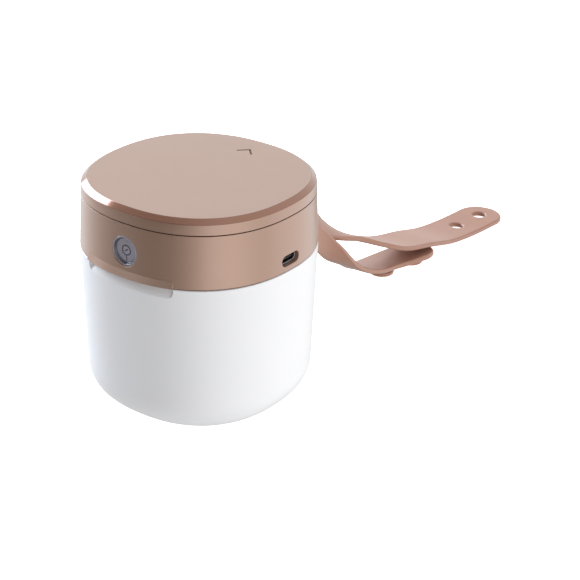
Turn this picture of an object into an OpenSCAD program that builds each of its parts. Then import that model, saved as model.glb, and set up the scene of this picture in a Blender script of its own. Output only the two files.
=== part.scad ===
// Pacifier sterilizer case. A white bowl with a bright liner carries a hinged tan head, which
// holds the lamp, battery, charging socket and push button, and a twisted silicone strap.
// Millimetres, +Z up. The origin is the centre of the foot on the table. The button looks
// towards -Y, the charging socket towards +X and the hinge and strap towards +Y.

/* [Case] */
// Half width across the flats at the seam under the cap
half_w = 41; // [38:0.5:46]
// How much wider the head is at its foot than at the seam
foot_flare = 0.85; // [0:0.05:2]
// Exponent of the plan outline: 2 is a circle, more is squarer
plan_n = 2.287; // [2:0.001:3]
// Number of sides of the plan outline
plan_sides = 60; // [48:4:96]

/* [Bowl] */
// Height of the bowl's rim
bowl_h = 60.8; // [52:0.2:66]
// Draft angle of the bowl's side in degrees
bowl_draft = 1.8; // [0:0.1:4]
// Radius of the rounded bottom edge
corner_r = 14; // [8:0.5:20]
// Wall of the bowl
bowl_wall = 2.4; // [1.6:0.1:3]
// Wall of the bowl's rim, above the liner's seat
rim_wall = 3.2; // [2.8:0.1:4]
// Height of the thick band under the rim
band_h = 10; // [8:0.5:14]
// Width of the finger scoop under the head
scoop_w = 39; // [24:1:50]
// Height of the finger scoop
scoop_h = 4.2; // [3:0.1:7]
// Depth of the finger scoop at the rim
scoop_d = 2.2; // [1:0.1:2.4]
// Radius of the scoop's lower corners
scoop_corner = 2.5; // [1:0.1:2.8]

/* [Liner] */
// Wall of the reflective liner
liner_wall = 1.2; // [0.8:0.1:2]
// Thickness of the liner's flange
flange_t = 1.2; // [0.8:0.1:1.6]
// Width of the flange's seat in the bowl
seat_w = 1.9; // [1:0.1:2.5]
// Depth of the rim above the flange
rim_step = 0.8; // [0.6:0.1:1.2]

/* [Head] */
// Height of the head, from its foot to the flat top
head_h = 25.8; // [25.4:0.2:34]
// Gap between the bowl's rim and the head
head_gap = 0.4; // [0.3:0.05:0.8]
// Wall of the head ring
ring_wall = 2.2; // [1.8:0.1:3]
// Height of the cap above the seam
cap_h = 5.7; // [4.6:0.1:8]
// Height of the cap's chamfer
chamfer_h = 1.8; // [0.8:0.1:3]
// Inward run of the cap's chamfer
chamfer_in = 1.95; // [0.8:0.05:3]
// Top wall of the cap
cap_wall = 2.2; // [1.6:0.1:3]
// Depth of the small bevels that meet at the seam
seam_bevel = 0.35; // [0.2:0.05:0.6]
// Thickness of the floor plate
floor_t = 1.8; // [1.6:0.1:2.2]
// Height of the thumb ledge on the ring
ledge_h = 2.7; // [1.5:0.1:5]
// Outward reach of the thumb ledge at its foot
ledge_out = 0.9; // [0.3:0.1:1.5]
// Distance of the engraved arrow's tip from the middle
arrow_at = 29.6; // [10:0.2:33]
// Length of each stroke of the arrow
arrow_l = 5; // [3:0.5:8]
// Width of the arrow's strokes
arrow_w = 0.6; // [0.4:0.1:1]

/* [Hinge] */
// Radius of the hinge barrel
barrel_r = 3; // [2.5:0.1:3.4]
// Radius of the hinge pin
hinge_pin_r = 1.2; // [0.8:0.1:1.6]
// Width of the head's middle knuckle
knuckle_w = 18; // [12:1:22]
// Overall width of the hinge
hinge_w = 34; // [30:1:38]

/* [Button] */
// Height of the button's centre above the head's foot
button_rise = 9.7; // [8.6:0.1:10.8]
// Radius of the moving button
button_r = 5.6; // [4:0.1:5.8]
// Wall of the clear bezel round the button
bezel_wall = 0.6; // [0.5:0.1:1]
// Travel of the button
button_travel = 0.5; // [0.2:0.1:0.6]

/* [Charging socket] */
// Height of the socket's centre above the head's foot
usb_rise = 3.9; // [3.8:0.1:4.2]
// Outer width of the socket's shell
usb_w = 8.94; // [8.4:0.02:9.4]
// Outer height of the socket's shell
usb_h = 3.26; // [3:0.02:3.4]
// Length of the socket's shell
usb_l = 7.3; // [6.5:0.1:9]
// Clearance round the socket in the ring's slot
usb_clear = 0.4; // [0.2:0.05:0.6]

/* [Electronics] */
// Radius of the lamp window
window_r = 15; // [10:0.5:15.5]
// Thickness of the lamp window
window_t = 1.5; // [1.2:0.1:1.8]
// Height of the reflector dish
reflector_h = 5.8; // [4.5:0.1:6.2]
// Thickness of the circuit boards
board_t = 1.3; // [0.8:0.1:1.4]
// Gap between the main board and the ring
board_gap = 1.7; // [1.2:0.1:5]
// Length of the battery
battery_l = 50; // [30:1:56]
// Width of the battery
battery_w = 34; // [20:1:36]
// Thickness of the battery
battery_t = 6; // [4:0.5:6.5]
// Distance of the four head screws in from the ring's corners
screw_in = 5.6; // [5:0.1:8]

/* [Strap] */
// Thickness of the strap
strap_t = 2.2; // [1.6:0.1:2.6]
// Drop of the strap's middle under the bowl's rim, where it loops round the bar
strap_drop = 9.8; // [9.4:0.1:12]
// Width of the strap at the bar
strap_root_w = 8.5; // [7:0.1:9]
// Width of the strap's broad ends
strap_end_w = 20.4; // [16:0.2:22]
// Radius of the strap bar
bar_r = 1.8; // [1.4:0.1:2.2]
// Spacing of the two holes, and of the two studs
snap_pitch = 18; // [15:0.5:20]
// Radius of the strap's holes
hole_r = 3.1; // [2.5:0.1:3.6]
// Radius of the stud heads
stud_head_r = 5.4; // [4.4:0.1:6]
// Height that the studs stand out of the strap
stud_h = 3; // [2.4:0.1:4]

/* [Hidden] */
$fn = 64;

// Clearance between pieces that are fitted by hand
fit_gap = 0.3;
// Clearance between faces that move past each other
run_gap = 0.1;
// Overshoot that keeps cuts clear of the faces they pass
over = 1;
// Depth of engraved marks
engrave_d = 0.3;
// How far a sloping face runs into the wall that it meets
blend_in = 0.3;

// Case levels and half widths
foot_z = bowl_h + head_gap;
case_h = foot_z + head_h;
seam_z = case_h - cap_h;
rim_r = half_w + foot_flare;
ring_in_r = half_w - ring_wall + foot_flare / 2;
ring_corner_r = ring_in_r * pow(2, 0.5 - 1 / plan_n);
corner_flat = bowl_r(corner_r) - corner_r;
scoop_z = bowl_h - scoop_h;

// Circle that the front wall follows as far as the scoop reaches
arc_drop = rim_r - pow(pow(rim_r, plan_n) - pow(scoop_w / 2, plan_n), 1 / plan_n);
arc_r = (pow(scoop_w / 2, 2) + pow(arc_drop, 2)) / (2 * arc_drop);

// Liner seat
flange_z = bowl_h - rim_step - flange_t;
rebate_r = rim_r - rim_wall;
band_r = rebate_r - seat_w;
band_slope = 3;
liner_r = band_r - fit_gap;
liner_corner = corner_r - bowl_wall - 1;
liner_draft = 0.9;
liner_flat = liner_r - liner_draft - liner_corner;
liner_z = bowl_wall + fit_gap;

// Cap
cap_draft = 0.2;
lip_wall = 1.4;
lip_h = 2.8;

// Floor plate and seal
floor_z = foot_z + 0.2;
floor_top = floor_z + floor_t;
floor_r = ring_in_r - fit_gap;
seal_w = 1.4;
seal_r = rebate_r - 0.6;
seal_z = bowl_h - rim_step + fit_gap;

// Screws that hold the floor plate to the ring
screw_xy = (ring_corner_r - screw_in) / sqrt(2);
boss_r = 3;
boss_h = 8.5;
screw_r = 1;
screw_head_r = 2;
screw_head_h = 1;
screw_l = 7;

// Hinge
hinge_y = rim_r + barrel_r + fit_gap;
hinge_z = foot_z - 0.2;
knuckle_gap = 0.2;
web_h = 4.5;
root_in = 0.2;
arm_drop = 0.8;

// Magnets
magnet_r = 1.3;
base_magnet_h = 5;
head_magnet_h = 2;
base_magnet_y = -(band_r + 0.4 + magnet_r);
head_magnet_y = -(floor_r - 0.4 - magnet_r);

// Lamp
lamp_r = window_r + 2;
window_seat = 0.6;
reflector_top = floor_top + reflector_h;
lamp_top = reflector_top + board_t;
led_s = 3.5;
led_h = 1.2;
led_pitch = 5.5;
ear_y = lamp_r + 2.3;
ear_h = 2;
ear_r = 3;

// Main board: the socket hangs under it and the switch stands on it
usb_z = foot_z + usb_rise;
board_z = usb_z + usb_h / 2 + 0.02;
board_top = board_z + board_t;
board_r = ring_in_r - board_gap;
board_hole_r = lamp_r + 1.5;
standoff_r = 2.5;
standoff_at = board_r - 6.5;

// What stands on the board's ring between the lamp and the edge: width, depth and height
parts_at = (board_hole_r + board_r) / 2;
chip = [6, 6, 1];
coil = [5, 5, 2.4];
regulator = [5, 5, 1];
capacitor = [2.4, 1.4, 0.9];
capacitor_step = 4.5;
can_r = 2.2;
can_h = 3.4;

// Sensor under the board, beside the button
sensor = [2.9, 1.3, 1.1];
sensor_x = 7;

// Status diodes beside the switch
status_led = [1.6, 0.8, 0.7];
status_pitch = 9.2;

// Battery on its pad
pad_t = 1;
battery_z = lamp_top + pad_t;
connector = [7, 4.5, 3.5];
connector_at = [7.5, battery_w / 2 + 5];
lead_r = 0.6;
lead_pitch = 3;
lead_run = 3.4;

// Button, its bezel and the switch behind it
button_z = foot_z + button_rise;
button_y = -ring_r(button_z);
bezel_in_r = button_r + run_gap;
bezel_r = bezel_in_r + bezel_wall;
bezel_back = -(ring_in_r - 1.2);
bezel_proud = 0.15;
button_inset = 0.2;
flange_r = bezel_r - 0.05;
button_flange_t = 1;
button_back = bezel_back + run_gap + button_flange_t;
plunger_r = 1.2;
plunger_l = 2.5;
switch_y = button_back + button_travel + 0.6;
switch_size = [6, 3.5, 5.2];

// Strap
strap_z = bowl_h - strap_drop;
bar_y = rim_r + bar_r + 0.2 + strap_t + 2.4;
bar_clear = 0.2;
loop_r = bar_r + bar_clear + strap_t / 2;
lug_r = loop_r + strap_t / 2;
lug_t = 1.8;
lug_gap = 0.55;
lug_low = strap_z - strap_root_w / 2 - lug_gap;
lug_high = strap_z + strap_root_w / 2 + lug_gap;
neck_r = hole_r - 0.3;
stud_head_h = 2;
strap_steps = 6;
tip_steps = 8;
loop_steps = 12;

// Stations of the two tails, from the bar outwards: sideways place, distance behind the bar,
// lift (1 at the bar's height, 0 lying down), roll of the width in degrees, and the width as
// a share of the broadening from root to end. The upper tail ends in the holes, the lower one
// in the studs.
upper_tail = [
    [-3.2, 5, 0.995, -90, 0], [-3.7, 14, 0.935, -90, 0], [-4, 27.5, 0.8, -72, 0.04],
    [-4, 38.5, 0.645, -34, 0.13], [-3, 53.5, 0.48, 4, 0.3], [-1.5, 66.5, 0.355, 3, 0.55],
    [-0.5, 82.5, 0.225, 0, 0.84], [-0.3, 101.5, 0.135, 0, 0.97], [0, 118.5, 0.05, 0, 1],
    [0.7, 135.5, 0.012, 0, 1], [1.9, 153.5, 0.004, 0, 1]
];
lower_tail = [
    [3.2, 5, 0.995, 90, 0], [4, 12.5, 0.9, 90, 0], [4, 21.5, 0.715, 84, 0],
    [3.5, 30.5, 0.535, 56, 0.04], [2.3, 45.5, 0.275, 6, 0.17], [0, 61.5, 0.085, 6, 0.63],
    [-1.3, 77.5, 0.01, 8, 0.92], [2.2, 95, 0, 6, 0.97]
];

// Half width of the bowl's outside at height z, above the rounded bottom edge
function bowl_r(z) = rim_r - (bowl_h - z) * tan(bowl_draft);

// Half width of the head ring's outside at height z
function ring_r(z) = rim_r - foot_flare * (z - foot_z) / (seam_z - foot_z);

// Power that keeps the sign of its base
function signed_pow(v, p) = sign(v) * pow(abs(v), p);

// Points of the plan outline at half width r
function plan_points(r) = [
    for (i = [0 : plan_sides - 1])
        let (a = 360 * i / plan_sides)
            [r * signed_pow(cos(a), 2 / plan_n), r * signed_pow(sin(a), 2 / plan_n)]
];

// Profile points of a rounded bottom edge: flat half width, radius and centre height
function edge_arc(flat, r, z, steps) = [
    for (i = [0 : steps]) [flat + r * sin(90 * i / steps), z - r * cos(90 * i / steps)]
];

// Faces of a tube of rings with m points each: closed by flat ends, or joined into a loop
function tube_faces(rings, m, looped = false) = concat(
    looped ? [] : [[for (i = [0 : m - 1]) i], [for (i = [m - 1 : -1 : 0]) (rings - 1) * m + i]],
    [
        for (k = [0 : rings - (looped ? 1 : 2)], i = [0 : m - 1])
            let (j = (i + 1) % m, n = (k + 1) % rings)
                each [[k * m + i, n * m + j, k * m + j], [k * m + i, n * m + i, n * m + j]]
    ]
);

// Solid through plan outlines, from a list of [half width, height]; a looped one is a ring
module loft(profile, looped = false) {
    polyhedron(
        points = [for (s = profile, p = plan_points(s[0])) [p[0], p[1], s[1]]],
        faces = tube_faces(len(profile), plan_sides, looped),
        convexity = 6
    );
}

// Upright plate or plug with the plan outline
module slab(r, z0, z1) {
    translate([0, 0, z0])
        linear_extrude(z1 - z0)
            polygon(plan_points(r));
}

// Round bar along Y, from y0 to y1
module bar_y(r, y0, y1, x = 0, z = 0) {
    translate([x, y0, z])
        rotate([-90, 0, 0])
            cylinder(r = r, h = y1 - y0);
}

// Round bar along X, centred on the middle plane
module bar_x(r, w, y, z, x = 0) {
    translate([x - w / 2, y, z])
        rotate([0, 90, 0])
            cylinder(r = r, h = w);
}

// Block between two corners
module block(low, high) {
    translate(low)
        cube(high - low);
}

// Bar with a slot-shaped section along X, from x0 to x1
module slot_bar(w, h, x0, x1, z) {
    r = h / 2;
    block([x0, -w / 2 + r, z - r], [x1, w / 2 - r, z + r]);
    for (side = [-1, 1])
        translate([x0, side * (w / 2 - r), z])
            rotate([0, 90, 0])
                cylinder(r = r, h = x1 - x0);
}

// The four places of the head screws
module at_head_screws() {
    for (sx = [-1, 1], sy = [-1, 1])
        translate([sx * screw_xy, sy * screw_xy, 0])
            children();
}

// The three places of the board's standoffs
module at_standoffs() {
    for (a = [90, 210, 330])
        rotate(a)
            translate([standoff_at, 0, 0])
                children();
}

// Pan head screw standing on its head, with its shank upwards
module screw(head_r, head_h, shank_r, length) {
    cylinder(r = head_r, h = head_h);
    cylinder(r = shank_r, h = length);
}

// White outer bowl with its hinge knuckles and the lugs of the strap bar
module bowl() {
    web_w = (hinge_w - knuckle_w) / 2 - knuckle_gap;
    color("white")
        difference() {
            union() {
                bowl_wall_loft();
                for (side = [-1, 1])
                    translate([side * (hinge_w - web_w) / 2, 0, 0]) {
                        bar_x(barrel_r, web_w, hinge_y, hinge_z);
                        block([-web_w / 2, rebate_r - root_in, bowl_h - web_h], [web_w / 2, hinge_y, bowl_h]);
                    }
                for (z = [lug_low - lug_t, lug_high])
                    translate([0, bar_y, z]) {
                        cylinder(r = lug_r, h = lug_t);
                        block([-lug_r, bowl_r(z) - 1.5 - bar_y, 0], [lug_r, 0, lug_t]);
                    }
            }
            bar_x(hinge_pin_r, hinge_w + over, hinge_y, hinge_z);
            translate([0, bar_y, lug_low - lug_t - over])
                cylinder(r = bar_r, h = lug_high - lug_low + 2 * lug_t + 2 * over);
            translate([0, base_magnet_y, flange_z - base_magnet_h])
                cylinder(r = magnet_r, h = base_magnet_h + fit_gap);
            finger_scoop();
        }
}

// The bowl's wall alone, up the outside and down the inside
module bowl_wall_loft() {
    slope_z = flange_z - band_h - band_slope;
    loft(concat(
        edge_arc(corner_flat, corner_r, corner_r, 6),
        [
            [rim_r, bowl_h], [rebate_r, bowl_h], [rebate_r, flange_z], [band_r, flange_z],
            [band_r, flange_z - band_h], [bowl_r(slope_z) - bowl_wall, slope_z]
        ],
        reversed(edge_arc(corner_flat, corner_r - bowl_wall, corner_r, 5))
    ));
}

// Space of the finger scoop: deepest at the rim, running out below
module finger_scoop() {
    side_x = scoop_w / 2 - scoop_corner;
    back_y = -rebate_r / 2;
    front_y = -rim_r - over;
    difference() {
        union() {
            block([-scoop_w / 2, front_y, scoop_z + scoop_corner], [scoop_w / 2, back_y, bowl_h + over]);
            block([-side_x, front_y, scoop_z], [side_x, back_y, bowl_h]);
            for (side = [-1, 1])
                bar_y(scoop_corner, front_y, back_y, side * side_x, scoop_z + scoop_corner);
        }
        front_cone(scoop_z, bowl_h, bowl_r(scoop_z) - rim_r + blend_in, -scoop_d, over);
    }
}

// Round solid that follows the front wall between two heights, out of it by in0 and in1
module front_cone(z0, z1, out0, out1, spare) {
    slope = (out1 - out0) / (z1 - z0);
    translate([0, arc_r - rim_r, z0 - spare])
        cylinder(r1 = arc_r + out0 - slope * spare, r2 = arc_r + out1 + slope * spare, h = z1 - z0 + 2 * spare);
}

// Reflective liner that hangs by its flange in the rim
module inner_liner() {
    color("lightgray")
        loft(concat(
            edge_arc(liner_flat, liner_corner, liner_z + liner_corner, 6),
            [
                [liner_r, flange_z], [rebate_r - run_gap, flange_z],
                [rebate_r - run_gap, flange_z + flange_t], [liner_r - liner_wall, flange_z + flange_t]
            ],
            reversed(edge_arc(liner_flat, liner_corner - liner_wall, liner_z + liner_corner, 6))
        ));
}

// Steel pin of the hinge, pressed in the bowl's knuckles
module hinge_pin() {
    color("silver")
        bar_x(hinge_pin_r, hinge_w, hinge_y, hinge_z);
}

// Steel bar that the strap loops round, pressed in the lugs
module strap_bar() {
    color("silver")
        translate([0, bar_y, lug_low - lug_t])
            cylinder(r = bar_r, h = lug_high - lug_low + 2 * lug_t);
}

// Magnet in the bowl's rim
module base_magnet() {
    color("dimgray")
        translate([0, base_magnet_y, flange_z - base_magnet_h])
            cylinder(r = magnet_r, h = base_magnet_h);
}

// Tan ring of the head with its thumb ledge, knuckle, screw bosses, button hole and slot
module head_ring() {
    color("tan")
        difference() {
            union() {
                loft([
                    [rim_r, foot_z], [half_w, seam_z - seam_bevel], [half_w - seam_bevel, seam_z],
                    [ring_in_r, seam_z], [ring_in_r, foot_z]
                ], true);
                thumb_ledge();
                bar_x(barrel_r, knuckle_w, hinge_y, hinge_z);
                block([-knuckle_w / 2, ring_in_r + root_in, foot_z + fit_gap],
                      [knuckle_w / 2, hinge_y, hinge_z + barrel_r - arm_drop]);
                at_head_screws()
                    translate([0, 0, floor_top])
                        cylinder(r = boss_r, h = boss_h);
                for (a = [45 : 90 : 315])
                    rotate(a)
                        block([screw_xy * sqrt(2) + screw_r + 0.5, -1, floor_top + over],
                              [ring_corner_r + 0.5, 1, floor_top + boss_h - over]);
            }
            bar_x(hinge_pin_r + 0.05, knuckle_w + over, hinge_y, hinge_z);
            bar_y(bezel_r + 0.05, -rim_r - over, -ring_in_r + 2 * over, 0, button_z);
            slot_bar(usb_w + 2 * usb_clear, usb_h + 2 * usb_clear, ring_in_r - over, rim_r + over, usb_z);
            at_head_screws()
                translate([0, 0, floor_top - over])
                    cylinder(r = screw_r, h = screw_l);
        }
}

// Ledge that a thumb lifts, flaring outwards to the ring's foot
module thumb_ledge() {
    intersection() {
        difference() {
            front_cone(foot_z, foot_z + ledge_h, ledge_out, ring_r(foot_z + ledge_h) - rim_r - blend_in, 0);
            translate([0, arc_r - rim_r, foot_z - over])
                cylinder(r = arc_r - ring_wall / 2, h = ledge_h + 2 * over);
        }
        block([-scoop_w / 2, -rim_r - 2 * over, foot_z - over], [scoop_w / 2, -rim_r / 2, foot_z + ledge_h + over]);
    }
}

// Cap with its bevelled edge, locating lip and engraved arrow
module top_cap() {
    lip_r = ring_in_r - fit_gap;
    lip_in_r = lip_r - lip_wall;
    color("tan")
        difference() {
            loft([
                [lip_in_r, case_h - cap_wall], [lip_in_r, seam_z - lip_h], [lip_r, seam_z - lip_h], [lip_r, seam_z],
                [half_w - seam_bevel, seam_z], [half_w, seam_z + seam_bevel],
                [half_w - cap_draft, case_h - chamfer_h], [half_w - cap_draft - chamfer_in, case_h]
            ]);
            arrow_mark();
        }
}

// Shallow arrow head in the cap that points to the hinge
module arrow_mark() {
    translate([0, arrow_at, case_h - engrave_d])
        for (a = [225, 315])
            rotate(a)
                translate([-arrow_w / 2, -arrow_w / 2, 0])
                    cube([arrow_l, arrow_w, over]);
}

// Plate that closes the head towards the chamber and carries the lamp and the board
module head_floor() {
    color("whitesmoke")
        difference() {
            union() {
                slab(floor_r, floor_z, floor_top);
                at_standoffs()
                    translate([0, 0, floor_top])
                        cylinder(r = standoff_r, h = board_z - floor_top);
            }
            translate([0, 0, floor_z - over])
                cylinder(r = window_r - 2, h = floor_t + 2 * over);
            translate([0, 0, floor_top - window_t + 0.3])
                cylinder(r = window_r + 0.1, h = window_t + over);
            at_head_screws()
                translate([0, 0, floor_z - over]) {
                    cylinder(r = screw_head_r + 0.1, h = screw_head_h + over);
                    cylinder(r = screw_r + 0.1, h = floor_t + 2 * over);
                }
            at_standoffs()
                translate([0, 0, floor_z + window_seat])
                    cylinder(r = screw_r * 0.8, h = board_z);
            for (side = [-1, 1])
                translate([0, side * ear_y, floor_z + window_seat])
                    cylinder(r = screw_r * 0.8, h = floor_t);
            translate([0, head_magnet_y, floor_z + 0.5])
                cylinder(r = magnet_r, h = floor_t);
        }
}

// Soft seal under the floor plate, just above the liner's flange
module rim_seal() {
    color("gainsboro")
        difference() {
            slab(seal_r, seal_z, floor_z);
            slab(seal_r - seal_w, seal_z - over, floor_z + over);
        }
}

// Magnet in the floor plate, over the bowl's magnet
module head_magnet() {
    color("dimgray")
        translate([0, head_magnet_y, floor_z + 0.5])
            cylinder(r = magnet_r, h = head_magnet_h);
}

// Four screws from the floor plate into the ring's bosses
module head_screws() {
    color("silver")
        at_head_screws()
            translate([0, 0, floor_z])
                screw(screw_head_r, screw_head_h, screw_r, screw_l);
}

// Clear window under the lamp
module uv_window() {
    color("lightcyan")
        translate([0, 0, floor_top - window_t + 0.3])
            cylinder(r = window_r, h = window_t - 0.3);
}

// Bright dish between the window and the lamp board, with two ears
module reflector() {
    color("silver")
        difference() {
            union() {
                translate([0, 0, floor_top])
                    cylinder(r = lamp_r, h = reflector_h);
                for (side = [-1, 1])
                    translate([0, side * ear_y, floor_top]) {
                        cylinder(r = ear_r, h = ear_h);
                        block([-ear_r, side > 0 ? -ear_r : 0, 0], [ear_r, side > 0 ? 0 : ear_r, ear_h]);
                    }
            }
            translate([0, 0, floor_top - over])
                rotate_extrude()
                    polygon([
                        [0, 0], [window_r - 2, 0], [window_r - 2, over],
                        [window_r / 2, over + reflector_h], [window_r / 2, 2 * over + reflector_h],
                        [0, 2 * over + reflector_h]
                    ]);
            for (side = [-1, 1])
                translate([0, side * ear_y, floor_top - over])
                    cylinder(r = screw_r * 0.8, h = ear_h + 2 * over);
        }
}

// Two screws that hold the reflector's ears
module reflector_screws() {
    color("silver")
        for (side = [-1, 1])
            translate([0, side * ear_y, floor_top + ear_h + 1])
                mirror([0, 0, 1])
                    screw(screw_r * 1.6, 1, screw_r * 0.8, ear_h + 2);
}

// Metal-core board of the lamp, on the reflector
module lamp_board() {
    color("whitesmoke")
        translate([0, 0, reflector_top])
            cylinder(r = lamp_r, h = board_t);
}

// Four lamp diodes under the lamp board
module uv_leds() {
    color("gold")
        for (sx = [-0.5, 0.5], sy = [-0.5, 0.5])
            translate([sx * led_pitch, sy * led_pitch, reflector_top - led_h / 2])
                cube([led_s, led_s, led_h], center = true);
}

// Two short leads from the lamp board to the main board
module lamp_leads() {
    color("firebrick")
        for (side = [-1, 1]) {
            lead_y = side * lead_pitch / 2;
            translate([-lamp_r - lead_run, lead_y, reflector_top + board_t / 2]) {
                rotate([0, 90, 0])
                    cylinder(r = lead_r, h = lead_run);
                sphere(r = lead_r);
                translate([0, 0, board_top - reflector_top - board_t / 2])
                    cylinder(r = lead_r, h = reflector_top + board_t / 2 - board_top);
            }
        }
}

// Main circuit board round the lamp, notched for the bosses and the button
module main_board() {
    color("seagreen")
        difference() {
            translate([0, 0, board_z])
                cylinder(r = board_r, h = board_t);
            translate([0, 0, board_z - over])
                cylinder(r = board_hole_r, h = board_t + 2 * over);
            at_head_screws()
                translate([0, 0, board_z - over])
                    cylinder(r = boss_r + 0.8, h = board_t + 2 * over);
            at_standoffs()
                translate([0, 0, board_z - over])
                    cylinder(r = screw_r, h = board_t + 2 * over);
            block([-board_r, -board_r - over, board_z - over],
                  [board_r, switch_y, board_top + over]);
        }
}

// Three screws that hold the board to the standoffs
module board_screws() {
    color("silver")
        at_standoffs()
            translate([0, 0, board_top + 1])
                mirror([0, 0, 1])
                    screw(screw_r * 1.7, 1, screw_r * 0.8, 1 + board_t + 3);
}

// Chips, coil and capacitors on top of the board
module board_components() {
    color("black") {
        on_board(186, chip);
        on_board(16, coil);
        on_board(113, regulator);
        for (i = [0 : 3])
            on_board(158 + i * capacitor_step, capacitor);
        rotate(-13)
            translate([parts_at, 0, board_top])
                cylinder(r = can_r, h = can_h);
    }
}

// Block of the given size on the board's ring, at an angle round the lamp
module on_board(angle, size) {
    rotate(angle)
        block([parts_at - size[0] / 2, -size[1] / 2, board_top],
              [parts_at + size[0] / 2, size[1] / 2, board_top + size[2]]);
}

// Sensor under the board that feels the bowl's magnet
module hall_sensor() {
    color("black")
        block([sensor_x, switch_y + 0.6, board_z - sensor[2]],
              [sensor_x + sensor[0], switch_y + 0.6 + sensor[1], board_z]);
}

// Two small diodes that light the button from behind
module status_leds() {
    color("ivory")
        for (side = [-1, 1])
            translate([side * status_pitch / 2 - status_led[0] / 2, switch_y + 0.1, board_top])
                cube(status_led);
}

// Push switch that stands on the board behind the button
module tact_switch() {
    color("dimgray")
        difference() {
            block([-switch_size[0] / 2, switch_y, board_top],
                  [switch_size[0] / 2, switch_y + switch_size[1], board_top + switch_size[2]]);
            bar_y(plunger_r + 0.1, switch_y - over, switch_y + plunger_l, 0, button_z);
        }
}

// Metal shell of the charging socket, hung under the board
module usb_socket() {
    mouth = ring_r(usb_z) - 0.5;
    color("silver")
        difference() {
            slot_bar(usb_w, usb_h, mouth - usb_l, mouth, usb_z);
            slot_bar(usb_w - 0.6, usb_h - 0.6, mouth - usb_l + 0.5, mouth + over, usb_z);
        }
}

// Contact tongue inside the socket
module usb_tongue() {
    back = ring_r(usb_z) - 0.5 - usb_l + 0.5;
    color("black")
        block([back, -3.35, usb_z - 0.35], [back + usb_l - 2, 3.35, usb_z + 0.35]);
}

// Flat rechargeable cell with its folded edge strip
module battery() {
    color("silver") {
        block([-battery_l / 2, -battery_w / 2, battery_z], [battery_l / 2 - 3, battery_w / 2, battery_z + battery_t]);
        block([battery_l / 2 - 3, -battery_w / 2 + 1, battery_z + 0.8], [battery_l / 2, battery_w / 2 - 1, battery_z + 2.4]);
    }
}

// Foam pad between the lamp board and the cell
module battery_pad() {
    color("dimgray")
        block([-lamp_r * 0.7, -lamp_r * 0.7, lamp_top], [lamp_r * 0.7, lamp_r * 0.7, battery_z]);
}

// Socket for the cell's leads
module battery_connector() {
    color("ivory")
        block([connector_at[0] - connector[0] / 2, connector_at[1] - connector[1] / 2, board_top],
              [connector_at[0] + connector[0] / 2, connector_at[1] + connector[1] / 2, board_top + connector[2]]);
}

// Two leads from the cell down into the connector
module battery_leads() {
    lead_z = battery_z + battery_t / 2;
    color("firebrick")
        for (side = [-0.5, 0.5])
            translate([connector_at[0] + side * lead_pitch, connector_at[1], 0]) {
                bar_y(lead_r, battery_w / 2 - connector_at[1], 0, 0, lead_z);
                translate([0, 0, lead_z])
                    sphere(r = lead_r);
                translate([0, 0, board_top + connector[2]])
                    cylinder(r = lead_r, h = lead_z - board_top - connector[2]);
            }
}

// Clear sleeve in the ring that guides the button
module button_bezel() {
    color("lightgray")
        difference() {
            bar_y(bezel_r, button_y - bezel_proud, bezel_back, 0, button_z);
            bar_y(bezel_in_r, button_y - over, bezel_back + over, 0, button_z);
        }
}

// Translucent push button with an engraved ring and stem
module power_button() {
    front = button_y + button_inset;
    color("slategray")
        difference() {
            union() {
                bar_y(button_r, front, button_back, 0, button_z);
                bar_y(flange_r, bezel_back + run_gap, button_back, 0, button_z);
            }
            translate([0, front - over, button_z])
                rotate([-90, 0, 0])
                    difference() {
                        cylinder(r = button_r * 0.46, h = over + engrave_d);
                        translate([0, 0, -over])
                            cylinder(r = button_r * 0.34, h = 3 * over);
                    }
            block([-0.3, front - over, button_z - button_r * 0.72], [0.3, front + engrave_d, button_z - button_r * 0.4]);
        }
}

// Plunger that carries the press into the switch
module switch_plunger() {
    color("ivory")
        bar_y(plunger_r, button_back, switch_y + plunger_l - button_travel - 0.2, 0, button_z);
}

// Width of the strap for a share of its broadening
function strap_w(share) = strap_root_w + share * (strap_end_w - strap_root_w);

// Station in real sizes: centre, roll and width, for a tail that lies at height low
function placed(s, low) = [s[0], bar_y + s[1], low + s[2] * (strap_z - low), s[3], strap_w(s[4])];

// Curve through the stations that keeps their directions smooth
function blend4(a, b, c, d, t) =
    0.5 * (2 * b + (c - a) * t + (2 * a - 5 * b + 4 * c - d) * t * t + (3 * b - a - 3 * c + d) * t * t * t);

function smooth(list) = [
    for (i = [0 : len(list) - 2], k = [0 : strap_steps - 1])
        let (
            a = i == 0 ? 2 * list[0] - list[1] : list[i - 1],
            d = i == len(list) - 2 ? 2 * list[i + 1] - list[i] : list[i + 2]
        )
            blend4(a, list[i], list[i + 1], d, k / strap_steps),
    list[len(list) - 1]
];

function xyz(s) = [s[0], s[1], s[2]];
function unit(v) = v / norm(v);

// Ring of the section: centre, width direction, normal and width
function section(c, wide, normal, w) =
    let (a = w / 2, b = strap_t / 2, e = min(0.45, a * 0.9))
        [
            for (p = [[e - a, -b], [-a, e - b], [-a, b - e], [e - a, b], [a - e, b], [a, b - e], [a, e - b], [a - e, -b]])
                c + p[0] * wide + p[1] * normal
        ];

// Width direction of a tail that runs along t with the given roll
function wide_at(t, roll) =
    let (h = unit([1, 0, 0] - t * t[0]), v = cross(h, t))
        cos(roll) * h + sin(roll) * v;

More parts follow.
